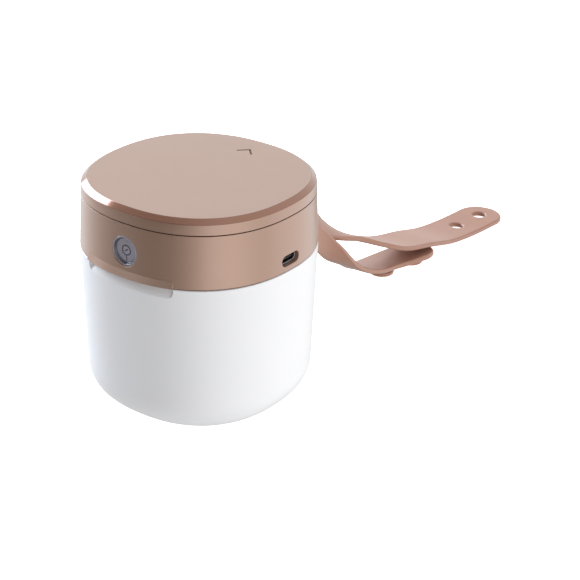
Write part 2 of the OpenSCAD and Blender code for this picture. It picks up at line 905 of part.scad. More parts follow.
// Sections of a tail from the bar to its round tip; turn is -1 where the strip runs inwards
function tail_rings(stations, turn) =
    let (
        s = smooth(stations),
        n = len(s),
        last = unit(xyz(s[n - 1]) - xyz(s[n - 2])),
        end_wide = wide_at(last, s[n - 1][3]),
        r = s[n - 1][4] / 2
    )
        concat(
            [
                for (i = [0 : n - 1])
                    let (t = i == n - 1 ? last : unit(xyz(s[i + 1]) - xyz(s[max(i - 1, 0)])), w = wide_at(t, s[i][3]))
                        section(xyz(s[i]), turn * w, cross(w, t), s[i][4])
            ],
            [
                for (k = [1 : tip_steps])
                    let (a = 86 * k / tip_steps)
                        section(xyz(s[n - 1]) + last * r * sin(a), turn * end_wide, cross(end_wide, last), 2 * r * cos(a))
            ]
        );

// Sections of the loop round the bar, from the lower tail to the upper one
function loop_rings() = [
    for (k = [0 : loop_steps])
        let (a = -180 * k / loop_steps, t = [sin(a), -cos(a), 0])
            section([loop_r * cos(a), bar_y + loop_r * sin(a), strap_z], [0, 0, -1], cross([0, 0, -1], t), strap_root_w)
];

function reversed(list) = [for (i = [len(list) - 1 : -1 : 0]) list[i]];

// Point on a tail's end, back from the centre of its round tip
function snap_at(tail, low, back) =
    let (n = len(tail), tip = xyz(placed(tail[n - 1], low)), before = xyz(placed(tail[n - 2], low)))
        tip - unit(tip - before) * back;

// One-piece silicone strap: looped round the bar, each tail twisted to lie flat
module strap() {
    lower_low = stud_h + strap_t / 2;
    upper_low = strap_t / 2;
    rings = concat(
        reversed(tail_rings([for (s = lower_tail) placed(s, lower_low)], -1)),
        loop_rings(),
        tail_rings([for (s = upper_tail) placed(s, upper_low)], 1)
    );
    color("tan")
        difference() {
            union() {
                polyhedron(
                    points = [for (r = rings, p = r) p],
                    faces = tube_faces(len(rings), 8),
                    convexity = 10
                );
                for (back = [0, snap_pitch])
                    translate([snap_at(lower_tail, lower_low, back)[0], snap_at(lower_tail, lower_low, back)[1], 0]) {
                        cylinder(r = neck_r, h = stud_h + strap_t / 2);
                        cylinder(r1 = stud_head_r - 0.5, r2 = stud_head_r, h = stud_head_h / 2);
                        translate([0, 0, stud_head_h / 2])
                            cylinder(r1 = stud_head_r, r2 = stud_head_r - 0.6, h = stud_head_h / 2);
                    }
            }
            for (back = [0, snap_pitch])
                translate([snap_at(upper_tail, upper_low, back)[0], snap_at(upper_tail, upper_low, back)[1], -over])
                    cylinder(r = hole_r, h = strap_t + 2 * over);
        }
}

bowl();
inner_liner();
hinge_pin();
strap_bar();
base_magnet();
head_ring();
top_cap();
head_floor();
rim_seal();
head_magnet();
head_screws();
uv_window();
reflector();
reflector_screws();
lamp_board();
uv_leds();
lamp_leads();
main_board();
board_screws();
board_components();
hall_sensor();
status_leds();
tact_switch();
usb_socket();
usb_tongue();
battery();
battery_pad();
battery_connector();
battery_leads();
button_bezel();
power_button();
switch_plunger();
strap();
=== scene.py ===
"""Looks of a pacifier sterilizer case: finishes, fine mesh detail, camera, floor and studio light."""

import bisect
import logging
import math
from dataclasses import dataclass, field
from enum import Enum
from typing import Callable, Optional

import bpy
import bmesh
from mathutils import Matrix, Vector
from mathutils.geometry import delaunay_2d_cdt


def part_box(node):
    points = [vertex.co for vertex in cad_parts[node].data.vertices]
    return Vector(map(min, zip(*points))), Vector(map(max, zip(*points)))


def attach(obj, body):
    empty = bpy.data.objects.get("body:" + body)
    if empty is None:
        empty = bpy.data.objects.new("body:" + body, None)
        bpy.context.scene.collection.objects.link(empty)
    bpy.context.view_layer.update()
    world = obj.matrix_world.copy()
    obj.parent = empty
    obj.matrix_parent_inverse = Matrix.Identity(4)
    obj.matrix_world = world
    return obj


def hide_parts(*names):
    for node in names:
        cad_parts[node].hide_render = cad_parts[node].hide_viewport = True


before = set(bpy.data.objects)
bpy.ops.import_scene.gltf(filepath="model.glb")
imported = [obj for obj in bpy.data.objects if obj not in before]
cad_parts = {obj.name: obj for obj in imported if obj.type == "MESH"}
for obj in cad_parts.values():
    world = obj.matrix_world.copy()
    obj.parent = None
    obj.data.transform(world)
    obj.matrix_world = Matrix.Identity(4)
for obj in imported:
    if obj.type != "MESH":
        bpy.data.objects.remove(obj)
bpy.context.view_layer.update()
LOG = logging.getLogger("case")

MM = 0.001
TINY_MM = 1e-9
MERGE_MM = 1e-6
# How a cut's mouth flares into a wall: share of the flare sideways, and share of it below the surface
FLARE = ((1.0, -1.0), (1.0, 0.0), (0.45, 0.12), (0.12, 0.45), (0.0, 1.0))
# Height of the rings where a wall carries relief
RELIEF_STEP_MM = 0.16
# Lets a cut's rings stand clear of the surface that they follow
CLEAR_MM = 0.002

Flat = tuple[float, float]
Spot = tuple[float, float, float]


class Body(Enum):
    """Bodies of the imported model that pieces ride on."""

    BASE = "base"
    HEAD = "head"
    BUTTON = "button"
    STRAP = "strap_body"


def linear(hex_colour: str) -> tuple[float, float, float, float]:
    """Turn an sRGB hex colour into the linear RGBA that the shaders take.

    Args:
        hex_colour: six hex digits, such as "c8b4a6".

    Returns:
        Linear red, green and blue with an alpha of one.
    """
    parts = [int(hex_colour[i:i + 2], 16) / 255 for i in (0, 2, 4)]
    toe = 0.04045
    red, green, blue = (c / 12.92 if c <= toe else ((c + 0.055) / 1.055) ** 2.4 for c in parts)
    return (red, green, blue, 1.0)


def add_node(
    tree: bpy.types.NodeTree,
    kind: str,
    settings: Optional[dict] = None,
    links: Optional[dict] = None,
) -> bpy.types.Node:
    """Add a node with its settings and the links into it.

    Args:
        tree: node tree that takes the node.
        kind: type name of the node.
        settings: attribute names, or socket names or numbers, with the values to set.
        links: input socket names or numbers, with the output sockets that feed them.

    Returns:
        The new node.
    """
    node = tree.nodes.new(kind)
    for name, value in (settings or {}).items():
        if isinstance(name, str) and hasattr(node, name):
            setattr(node, name, value)
        else:
            node.inputs[name].default_value = value
    for name, source in (links or {}).items():
        tree.links.new(source, node.inputs[name])
    return node


@dataclass(frozen=True)
class Finish:
    """A moulded or machined surface: colour, gloss and the fine relief that the eye picks up.

    The grain is the spark-eroded texture of a mould, or a wire's drawing marks, and its size is real.
    """

    name: str
    colour: str
    tint: str
    roughness: float
    ior: float = 1.46
    metallic: float = 0.0
    grain_mm: float = 0.5
    grain_depth_mm: float = 0.004
    cloud_mm: float = 18.0
    cloud_share: float = 0.25
    roughness_swing: float = 0.04
    coat: float = 0.0
    coat_roughness: float = 0.1
    sheen: float = 0.0
    subsurface: float = 0.0
    subsurface_mm: float = 1.5
    transmission: float = 0.0

    def material(self) -> bpy.types.Material:
        """Build the node material of this finish, or hand back the one that exists."""
        known = bpy.data.materials.get(self.name)
        if known is not None:
            return known
        material = bpy.data.materials.new(self.name)
        material.use_nodes = True
        tree = material.node_tree
        tree.nodes.clear()
        place = add_node(tree, "ShaderNodeTexCoord").outputs["Object"]
        clouds = add_node(
            tree, "ShaderNodeTexNoise",
            {"Scale": 1 / (self.cloud_mm * MM), "Detail": 3.0, "Roughness": 0.5}, {"Vector": place},
        )
        share = add_node(
            tree, "ShaderNodeMapRange",
            {"From Min": 0.35, "From Max": 0.65, "To Min": 0.0, "To Max": self.cloud_share},
            {"Value": clouds.outputs["Fac"]},
        )
        mix = add_node(
            tree, "ShaderNodeMix",
            {"data_type": "RGBA", 6: linear(self.colour), 7: linear(self.tint)}, {0: share.outputs["Result"]},
        )
        grain = add_node(
            tree, "ShaderNodeTexNoise",
            {"Scale": 1 / (self.grain_mm * MM), "Detail": 2.0, "Roughness": 0.6}, {"Vector": place},
        )
        gloss = add_node(
            tree, "ShaderNodeMapRange",
            {
                "To Min": max(0.02, self.roughness - self.roughness_swing),
                "To Max": self.roughness + self.roughness_swing,
            },
            {"Value": clouds.outputs["Fac"]},
        )
        relief = add_node(
            tree, "ShaderNodeBump", {"Strength": 1.0, "Distance": self.grain_depth_mm * MM},
            {"Height": grain.outputs["Fac"]},
        )
        shader = add_node(
            tree, "ShaderNodeBsdfPrincipled",
            {
                "Metallic": self.metallic,
                "Coat Weight": self.coat,
                "Coat Roughness": self.coat_roughness,
                "Sheen Weight": self.sheen,
                "Subsurface Weight": self.subsurface,
                "Subsurface Scale": self.subsurface_mm * MM,
                "Transmission Weight": self.transmission,
            },
            {
                "Base Color": mix.outputs[2],
                "Roughness": gloss.outputs["Result"],
                "Normal": relief.outputs["Normal"],
            },
        )
        if self.metallic < 1:
            shader.inputs["IOR"].default_value = self.ior
        add_node(tree, "ShaderNodeOutputMaterial", None, {"Surface": shader.outputs["BSDF"]})
        return material


# ABS with a satin lacquer that holds a little metal powder: warm beige with long soft highlights
TAN_ABS = Finish(
    "tan_abs_lacquered", "ae8c79", "aa8673", 0.34, ior=1.53, grain_mm=0.35, grain_depth_mm=0.0015,
    metallic=0.5, coat=1.0, coat_roughness=0.15,
)
# The same ABS where the bevel of the cap is polished, with sharp highlights from its low roughness; its
# darker colour is painted shade
TAN_BEVEL_PAINTED_SHADE = Finish(
    "tan_abs_polished_bevel_painted_shade", "93644d", "8f604a", 0.14, ior=1.53, grain_mm=0.35, grain_depth_mm=0.0004,
    metallic=0.45, coat=1.0, coat_roughness=0.04,
)
# Dark brown ink in the sunken arrow: flat and dull
BROWN_INK = Finish("brown_pad_ink", "6b4a3a", "60412f", 0.5, cloud_mm=2.0)
# Moulded white ABS: a clean, faintly cool white with a broad sheen
WHITE_ABS = Finish(
    "white_abs_satin", "f7f7f9", "f4f5f7", 0.36, ior=1.53, grain_mm=0.35, grain_depth_mm=0.002,
    subsurface=0.04,
)
# Moulded silicone: matte, a little powdery, light seeps into its edges
TAN_SILICONE = Finish(
    "tan_silicone_matte", "a5725a", "9e6a52", 0.44, ior=1.5, grain_mm=0.6, grain_depth_mm=0.003,
    sheen=0.03, subsurface=0.05, subsurface_mm=1.2, coat=0.8, coat_roughness=0.4,
)
# Smoked translucent acrylic with a polished face: dim lilac-grey with a bright rim
SMOKED_ACRYLIC = Finish(
    "smoked_acrylic_polished", "a29daa", "948f9c", 0.16, ior=1.49, cloud_mm=6.0, grain_depth_mm=0.0003,
    coat=0.5, coat_roughness=0.05, subsurface=0.2, subsurface_mm=1.0,
)
# The same acrylic, nearly black with a violet cast, on the dish's side and in the mark: on the dish's side it
# is painted shade of the recess wall, in the engraved mark a darker colour
ACRYLIC_DISH_SHADE_AND_MARK = Finish(
    "smoked_acrylic_dish_shade_and_mark", "57535f", "4d4955", 0.2, ior=1.49, cloud_mm=6.0, grain_depth_mm=0.0003,
    coat=0.5, coat_roughness=0.06,
)
# Clear acrylic sleeve: mostly seen by its gloss
CLEAR_ACRYLIC = Finish(
    "clear_acrylic_polished", "d9d6dc", "cfccd3", 0.08, ior=1.49, grain_depth_mm=0.0002, coat=0.5,
    coat_roughness=0.03, transmission=0.4,
)
# Vacuum-metallised plastic: a bright mirror with slight waviness
METALLISED = Finish(
    "metallised_plastic_mirror", "e9e9ec", "dcdce2", 0.12, metallic=1.0, grain_mm=4.0,
    grain_depth_mm=0.004, roughness_swing=0.03,
)
# Drawn stainless steel: grey, with fine marks along the wire
STAINLESS = Finish(
    "stainless_steel_drawn", "bcbcc0", "a9a9ae", 0.26, metallic=1.0, grain_mm=0.25, grain_depth_mm=0.002,
)
# Hard gold over nickel on the socket's contacts: small warm glints
GOLD_PLATE = Finish("gold_plated_contact", "e2bd6a", "d3ab55", 0.2, metallic=1.0, cloud_mm=1.0)
# Nickel-plated magnet: bright, a touch yellow
NICKEL = Finish("nickel_plate_bright", "c9c5bd", "bbb7ae", 0.18, metallic=1.0, grain_depth_mm=0.001)
# Soft white silicone of the seal: matte and slightly translucent
SEAL_SILICONE = Finish("white_silicone_soft", "dcdad8", "d2d0cd", 0.55, ior=1.41, subsurface=0.2)
# Borosilicate window: clear with a clean reflection
WINDOW_GLASS = Finish(
    "borosilicate_glass_clear", "f2f7fb", "e8f2fa", 0.03, ior=1.47, grain_depth_mm=0.0001,
    transmission=0.95, roughness_swing=0.01,
)
# White solder mask on an aluminium core: an even gloss with a pale ground
LAMP_MASK = Finish("white_solder_mask", "ecebe6", "e3e2db", 0.3, coat=0.3)
# Ceramic lamp package with a gold edge: warm and shiny
LED_CERAMIC = Finish("led_ceramic_glazed", "d9bd72", "cba95c", 0.25, coat=0.4)
# PVC insulation of the leads: soft red gloss
RED_PVC = Finish("red_pvc_insulation", "a8231d", "951c17", 0.4, ior=1.53)
# Green solder mask over glass epoxy, with the copper a shade lighter under it
GREEN_MASK = Finish(
    "green_solder_mask", "1f6b3c", "17552e", 0.3, ior=1.55, cloud_mm=3.0, cloud_share=0.6, coat=0.4,
)
# Black moulded epoxy and nylon: matte with a grey bloom
BLACK_NYLON = Finish("black_nylon_matte", "232326", "2c2c2f", 0.55, ior=1.53)
# Ivory nylon of connectors and the plunger: waxy and pale
IVORY_NYLON = Finish("ivory_nylon_waxy", "e5dfce", "dbd4c0", 0.42, ior=1.53, subsurface=0.1)
# Laminated aluminium foil of the flat cell: dull silver with soft creases
CELL_FOIL = Finish(
    "laminated_foil_dull", "b9bbc0", "aaacb2", 0.36, metallic=1.0, grain_mm=2.5, grain_depth_mm=0.03,
)
# Closed-cell foam: dark grey and very rough
FOAM = Finish("closed_cell_foam", "3a3a3d", "2e2e31", 0.85, grain_mm=0.8, grain_depth_mm=0.15)

FINISH_OF = {
    "bowl": WHITE_ABS,
    "inner_liner": METALLISED,
    "hinge_pin": STAINLESS,
    "strap_bar": STAINLESS,
    "base_magnet": NICKEL,
    "head_ring": TAN_ABS,
    "top_cap": TAN_ABS,
    "head_floor": WHITE_ABS,
    "rim_seal": SEAL_SILICONE,
    "head_magnet": NICKEL,
    "head_screws": STAINLESS,
    "uv_window": WINDOW_GLASS,
    "reflector": METALLISED,
    "reflector_screws": STAINLESS,
    "lamp_board": LAMP_MASK,
    "uv_leds": LED_CERAMIC,
    "lamp_leads": RED_PVC,
    "main_board": GREEN_MASK,
    "board_screws": STAINLESS,
    "board_components": BLACK_NYLON,
    "hall_sensor": BLACK_NYLON,
    "status_leds": LED_CERAMIC,
    "tact_switch": BLACK_NYLON,
    "usb_socket": STAINLESS,
    "usb_tongue": BLACK_NYLON,
    "battery": CELL_FOIL,
    "battery_pad": FOAM,
    "battery_connector": IVORY_NYLON,
    "battery_leads": RED_PVC,
    "button_bezel": CLEAR_ACRYLIC,
    "power_button": SMOKED_ACRYLIC,
    "switch_plunger": IVORY_NYLON,
    "strap": TAN_SILICONE,
}


def dress_cad_nodes() -> None:
    """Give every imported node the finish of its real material."""
    for name, finish in FINISH_OF.items():
        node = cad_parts[name]
        node.data.materials.clear()
        node.data.materials.append(finish.material())
        LOG.info("%s dressed in %s", name, finish.name)


def smooth_min(a: float, b: float, soft: float) -> float:
    """Return the smaller value, rounded where the two are within soft of each other."""
    near = max(soft - abs(a - b), 0.0) / soft
    return min(a, b) - near * near * soft / 4


def arc(centre: Flat, radius: float, start: float, end: float, steps: int) -> list[Flat]:
    """Return points on a circle from one angle to another, both in degrees."""
    out = []
    for i in range(steps + 1):
        angle = math.radians(start + (end - start) * i / steps)
        out.append((centre[0] + radius * math.cos(angle), centre[1] + radius * math.sin(angle)))
    return out


def circle_points(radius: float, count: int) -> list[Flat]:
    """Return the points of a full circle round the origin."""
    turns = [math.tau * i / count for i in range(count)]
    return [(radius * math.cos(t), radius * math.sin(t)) for t in turns]


def circle(centre: Flat, radius: float, count: int) -> list[Flat]:
    """Return the points of a full circle, counter-clockwise."""
    return arc(centre, radius, 0, 360 - 360 / count, count - 1)


def stadium(centre: Flat, run: float, radius: float, steps: int) -> list[Flat]:
    """Return a slot-shaped loop: two half circles, each a run to its side of the middle."""
    x, y = centre
    return arc((x + run, y), radius, -90, 90, steps) + arc((x - run, y), radius, 90, 270, steps)


def spaced(low: float, high: float, step: float) -> list[float]:
    """Return even values from low to high, no further apart than step."""
    count = max(1, math.ceil(abs(high - low) / step))
    return [low + (high - low) * i / count for i in range(count + 1)]


def box_mm(name: str) -> tuple[Vector, Vector]:
    """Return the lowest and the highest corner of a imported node, in millimetres."""
    low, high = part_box(name)
    return low / MM, high / MM


@dataclass
class Skin:
    """Points in millimetres and the faces over them."""

    points: list[Spot] = field(default_factory=list)
    faces: list[tuple[int, ...]] = field(default_factory=list)

    def add(self, other: "Skin") -> "Skin":
        """Take in another closed skin beside this one."""
        start = len(self.points)
        self.points += other.points
        self.faces += [tuple(i + start for i in face) for face in other.faces]
        return self

    def moved(self, place: Callable[[Spot], Spot]) -> "Skin":
        """Return the same faces over points that a function has moved."""
        return Skin([place(p) for p in self.points], list(self.faces))

    def piece(self, name: str, finish: Finish, sharp_deg: float = 40.0) -> bpy.types.Object:
        """Turn the skin into a mesh object.

        Args:
            name: name of the piece.
            finish: finish of the whole piece.
            sharp_deg: edges that turn more than this stay crisp.

        Returns:
            The linked object, with its faces turned outwards.
        """
        mesh = bpy.data.meshes.new(name)
        mesh.from_pydata([(x * MM, y * MM, z * MM) for x, y, z in self.points], [], self.faces)
        work = bmesh.new()
        work.from_mesh(mesh)
        bmesh.ops.recalc_face_normals(work, faces=work.faces)
        work.to_mesh(mesh)
        work.free()
        mesh.materials.append(finish.material())
        piece = bpy.data.objects.new(name, mesh)
        bpy.context.scene.collection.objects.link(piece)
        shade(piece, sharp_deg)
        return piece


def shade(piece: bpy.types.Object, sharp_deg: float) -> None:
    """Shade a piece smooth, with crisp edges above an angle and flat faces kept flat.

    Args:
        piece: mesh object.
        sharp_deg: edges that turn more than this stay crisp.
    """
    for polygon in piece.data.polygons:
        polygon.use_smooth = True
    piece.data.set_sharp_from_angle(angle=math.radians(sharp_deg))
    even = piece.modifiers.new("even_normals", "WEIGHTED_NORMAL")
    even.keep_sharp = True


def dress_faces(piece: bpy.types.Object, finish: Finish, chosen: Callable[[Vector, Vector], bool]) -> None:
    """Give some faces of a piece a second finish.

    Args:
        piece: mesh object.
        finish: finish of the chosen faces.
        chosen: tells from a face's middle in millimetres and its normal whether it takes the finish.
    """
    piece.data.materials.append(finish.material())
    number = len(piece.data.materials) - 1
    for polygon in piece.data.polygons:
        if chosen(polygon.center / MM, polygon.normal):
            polygon.material_index = number


def joined_rings(rings: list[list[Spot]], looped: bool = False) -> Skin:
    """Join rings of points into a closed skin.

    Args:
        rings: rings of equally many points; an end ring may be a single point, and is then a pole.
        looped: whether the last ring joins the first, instead of both being closed.

    Returns:
        The skin.
    """
    skin = Skin()
    starts = []
    for ring in rings:
        starts.append(len(skin.points))
        skin.points += ring
    pairs = list(zip(range(len(rings) - 1), range(1, len(rings))))
    if looped:
        pairs.append((len(rings) - 1, 0))
    for low, high in pairs:
        a, b = starts[low], starts[high]
        count = max(len(rings[low]), len(rings[high]))
        for i in range(count):
            j = (i + 1) % count
            if len(rings[low]) == 1:
                skin.faces.append((a, b + i, b + j))
            elif len(rings[high]) == 1:
                skin.faces.append((a + i, b, a + j))
            else:
                skin.faces.append((a + i, b + i, b + j, a + j))
    if not looped:
        for k in (0, len(rings) - 1):
            if len(rings[k]) > 1:
                skin.faces.append(tuple(starts[k] + i for i in range(len(rings[k]))))
    return skin


def turned(profile: list[Flat], sides: int) -> Skin:
    """Turn a profile of (radius, height) about the Z axis into a closed skin."""
    rings = []
    for radius, height in profile:
        spots = [(0.0, 0.0)] if radius < TINY_MM else circle_points(radius, sides)
        rings.append([(x, y, height) for x, y in spots])
    return joined_rings(rings)


def inset(loop: list[Flat], depth: float) -> list[Flat]:
    """Move a counter-clockwise loop inwards by a depth, corner by corner."""
    out = []
    count = len(loop)
    for i, (x, y) in enumerate(loop):
        before, after = loop[i - 1], loop[(i + 1) % count]
        first = Vector((x - before[0], y - before[1])).normalized()
        second = Vector((after[0] - x, after[1] - y)).normalized()
        along = first + second
        side = Vector((-along.y, along.x)).normalized()
        reach = depth / max(0.5, side.dot(Vector((-first.y, first.x))))
        out.append((x + side.x * reach, y + side.y * reach))
    return out


def slab(
    outline: list[Flat], holes: list[list[Flat]], low: float, high: float, edge: float, steps: int = 3,
    inside: Optional[list[Flat]] = None,
) -> Skin:
    """Make a flat plate with rounded edges.

    Args:
        outline: counter-clockwise outer loop.
        holes: counter-clockwise loops of the holes.
        low: height of the underside.
        high: height of the top.
        edge: radius of the rounded edges.
        steps: number of steps in each rounded edge.
        inside: further points on the faces, so that the plate can be bent.

    Returns:
        The closed skin.
    """
    skin = Skin()
    section = []
    for turn in (math.radians(90 * i / steps) for i in range(steps + 1)):
        section.append((edge - edge * math.sin(turn), low + edge - edge * math.cos(turn)))
    section += [(d, low + high - z) for d, z in reversed(section)]
    caps: dict[int, list[list[int]]] = {0: [], len(section) - 1: []}
    for loop, way in [(outline, 1.0)] + [(hole, -1.0) for hole in holes]:
        count = len(loop)
        start = len(skin.points)
        for depth, z in section:
            skin.points += [(x, y, z) for x, y in inset(loop, way * depth)]
        for k in range(len(section) - 1):
            for i in range(count):
                j = (i + 1) % count
                a, b = start + k * count, start + (k + 1) * count
                skin.faces.append((a + i, a + j, b + j, b + i))
        for k in caps:
            caps[k].append([start + k * count + i for i in range(count)])
    for k, loops in caps.items():
        z = section[k][1]
        numbers = [i for loop in loops for i in loop]
        spots = [Vector(skin.points[i][:2]) for i in numbers]
        fields = []
        for loop in loops:
            base = len(fields[-1]) + fields[-1][0] if fields else 0
            fields.append(list(range(base, base + len(loop))))
        for x, y in inside or []:
            numbers.append(len(skin.points))
            skin.points.append((x, y, z))
            spots.append(Vector((x, y)))
        found = delaunay_2d_cdt(spots, [], fields, 1, MERGE_MM, True)
        sources = [numbers[ids[0]] for ids in found[3]]
        kept = [face for face, within in zip(found[2], found[5]) if within == [0]]
        skin.faces += [tuple(sources[i] for i in face) for face in kept]
    return skin


def settle(piece: bpy.types.Object, body: Body, slot: str, *nodes: str) -> bpy.types.Object:
    """Let a piece ride on its body, and hide the imported nodes that it stands for."""
    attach(piece, body.value)
    if nodes:
        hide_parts(*nodes)
    LOG.info("%s rides on %s", piece.name, body.value)
    return piece


def cut(piece: bpy.types.Object, cutter: Skin, finish: Finish, sharp_deg: float = 40.0) -> None:
    """Cut a closed skin out of a piece, before it is settled.

    Args:
        piece: mesh object that loses the space.
        cutter: closed skin of that space.
        finish: finish of the faces that the cut leaves.
        sharp_deg: edges that turn more than this stay crisp.
    """
    tool = cutter.piece("cutter", finish)
    tool.modifiers.clear()
    piece.modifiers.clear()
    step = piece.modifiers.new("cut", "BOOLEAN")
    step.operation = "DIFFERENCE"
    step.solver = "EXACT"
    step.object = tool
    step.material_mode = "TRANSFER"
    graph = bpy.context.evaluated_depsgraph_get()
    done = bpy.data.meshes.new_from_object(piece.evaluated_get(graph))
    piece.modifiers.clear()
    piece.data = done
    bpy.data.objects.remove(tool)
    shade(piece, sharp_deg)


@dataclass(frozen=True)
class Row:
    """Level of a shell: half width, height, and how much of the wall's relief it takes."""

    r: float
    z: float
    share: float = 0.0


def levels(points: list[Flat], share: float = 0.0) -> list[Row]:
    """Return the levels of a shell at (half width, height) points."""
    return [Row(r, z, share) for r, z in points]


@dataclass(frozen=True)
class Case:
    """Sizes that the bowl and the head share, in millimetres, and the plan outline of both."""

    exponent: float = 2.287
    half_width: float = 41.0
    foot_flare: float = 0.85
    rim_z: float = 60.8
    head_gap: float = 0.4
    cap_height: float = 5.7
    draft_deg: float = 1.8
    rim_wall: float = 3.2
    ring_wall: float = 2.2
    scoop_half: float = 19.5
    hinge_gap: float = 0.3
    barrel_r: float = 3.0
    sides: int = 256

    @property
    def rim_r(self) -> float:
        """Half width at the bowl's rim and the head's foot."""
        return self.half_width + self.foot_flare

    @property
    def foot_z(self) -> float:
        """Height of the head's foot."""
        return self.rim_z + self.head_gap

    @property
    def top_z(self) -> float:
        """Height of the flat top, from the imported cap."""
        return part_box("top_cap")[1].z / MM

    @property
    def seam_z(self) -> float:
        """Height of the seam under the cap."""
        return self.top_z - self.cap_height

    @property
    def rebate_r(self) -> float:
        """Half width inside the bowl's rim."""
        return self.rim_r - self.rim_wall

    @property
    def ring_in_r(self) -> float:
        """Half width inside the head ring."""
        return self.half_width - self.ring_wall + self.foot_flare / 2

    @property
    def hinge_y(self) -> float:
        """Distance of the hinge's axis behind the middle."""
        return self.rim_r + self.barrel_r + self.hinge_gap

    @property
    def hinge_z(self) -> float:
        """Height of the hinge's axis."""
        return self.foot_z - 0.2

    def bowl_r(self, z: float) -> float:
        """Return the half width of the bowl's outside at a height."""
        return self.rim_r - (self.rim_z - z) * math.tan(math.radians(self.draft_deg))

    def ring_r(self, z: float) -> float:
        """Return the half width of the head ring's outside at a height."""
        return self.rim_r - self.foot_flare * (z - self.foot_z) / (self.seam_z - self.foot_z)

    def across(self, offset: float, r: float) -> float:
        """Return how far the wall of half width r stands from the middle, at a sideways offset."""
        return (r ** self.exponent - abs(offset) ** self.exponent) ** (1 / self.exponent)

    def angles(self, windows: tuple[tuple[float, float, float], ...] = ()) -> list[float]:
        """Return the outline's angles, with finer ones in windows of the front wall.

        Args:
            windows: lowest x, highest x and step of each fine stretch.
        """
        fine = []
        even = [math.tau * i / self.sides - math.pi for i in range(self.sides)]
        for low, high, step in windows:
            stretch = [math.atan2(-self.across(x, self.rim_r), x) for x in spaced(low, high, step)]
            even = [a for a in even if not min(stretch) - 0.01 < a < max(stretch) + 0.01]
            fine += stretch
        return sorted(even + fine)

    def rings(
        self, rows: list[Row], angles: list[float], relief: Optional[Callable[[float, float], float]] = None
    ) -> list[list[Spot]]:
        """Return the rings of a shell.

        Args:
            rows: levels of the shell, one ring each; a half width of zero gives a pole.
            angles: angles of the outline's points.
            relief: how far the front wall stands out at (x, z), for the rows that take a share of it.
        """
        power = self.exponent
        out = []
        for row in rows:
            if row.r < TINY_MM:
                out.append([(0.0, 0.0, row.z)])
                continue
            ring = []
            for angle in angles:
                c, s = math.cos(angle), math.sin(angle)
                reach = row.r * (abs(c) ** power + abs(s) ** power) ** (-1 / power)
                x, y = reach * c, reach * s
                if relief is not None and row.share > 0 and s < 0:
                    nx = math.copysign(abs(c) ** (power - 1), c)
                    ny = -(abs(s) ** (power - 1))
                    out_by = relief(x, row.z) * row.share / math.hypot(nx, ny)
                    x += nx * out_by
                    y += ny * out_by
                ring.append((x, y, row.z))
            out.append(ring)
        return out


@dataclass
class Knuckle:
    """Hinge knuckle: a barrel on an arm that is rooted in a wall."""

    case: Case
    edge: float = 0.35
    bowl_root: Flat = (38.9, 53.9)
    head_root: Flat = (39.6, 63.0)
    arm_gap: float = 0.2
    foot_gap: float = 0.3

    def across(self, outline: list[Flat], low: float, high: float) -> Skin:
        """Extrude an outline in the (y, z) plane along X, with rounded ends."""
        return slab(outline, [], low, high, self.edge).moved(lambda p: (p[2], p[0], p[1]))

    def on_bowl(self, low: float, high: float) -> Skin:
        """Return a knuckle with its arm below the barrel."""
        centre = (self.case.hinge_y, self.case.hinge_z)
        barrel = arc(centre, self.case.barrel_r, -60, 186, 30)
        top = (self.bowl_root[0], self.case.rim_z - self.arm_gap)
        return self.across([self.bowl_root] + barrel + [top], low, high)

    def on_head(self, low: float, high: float) -> Skin:
        """Return a knuckle with its arm above the barrel."""
        centre = (self.case.hinge_y, self.case.hinge_z)
        barrel = arc(centre, self.case.barrel_r, -190, 100, 36)
        foot = (self.head_root[0], self.case.foot_z + self.foot_gap)
        return self.across([foot] + barrel + [self.head_root], low, high)


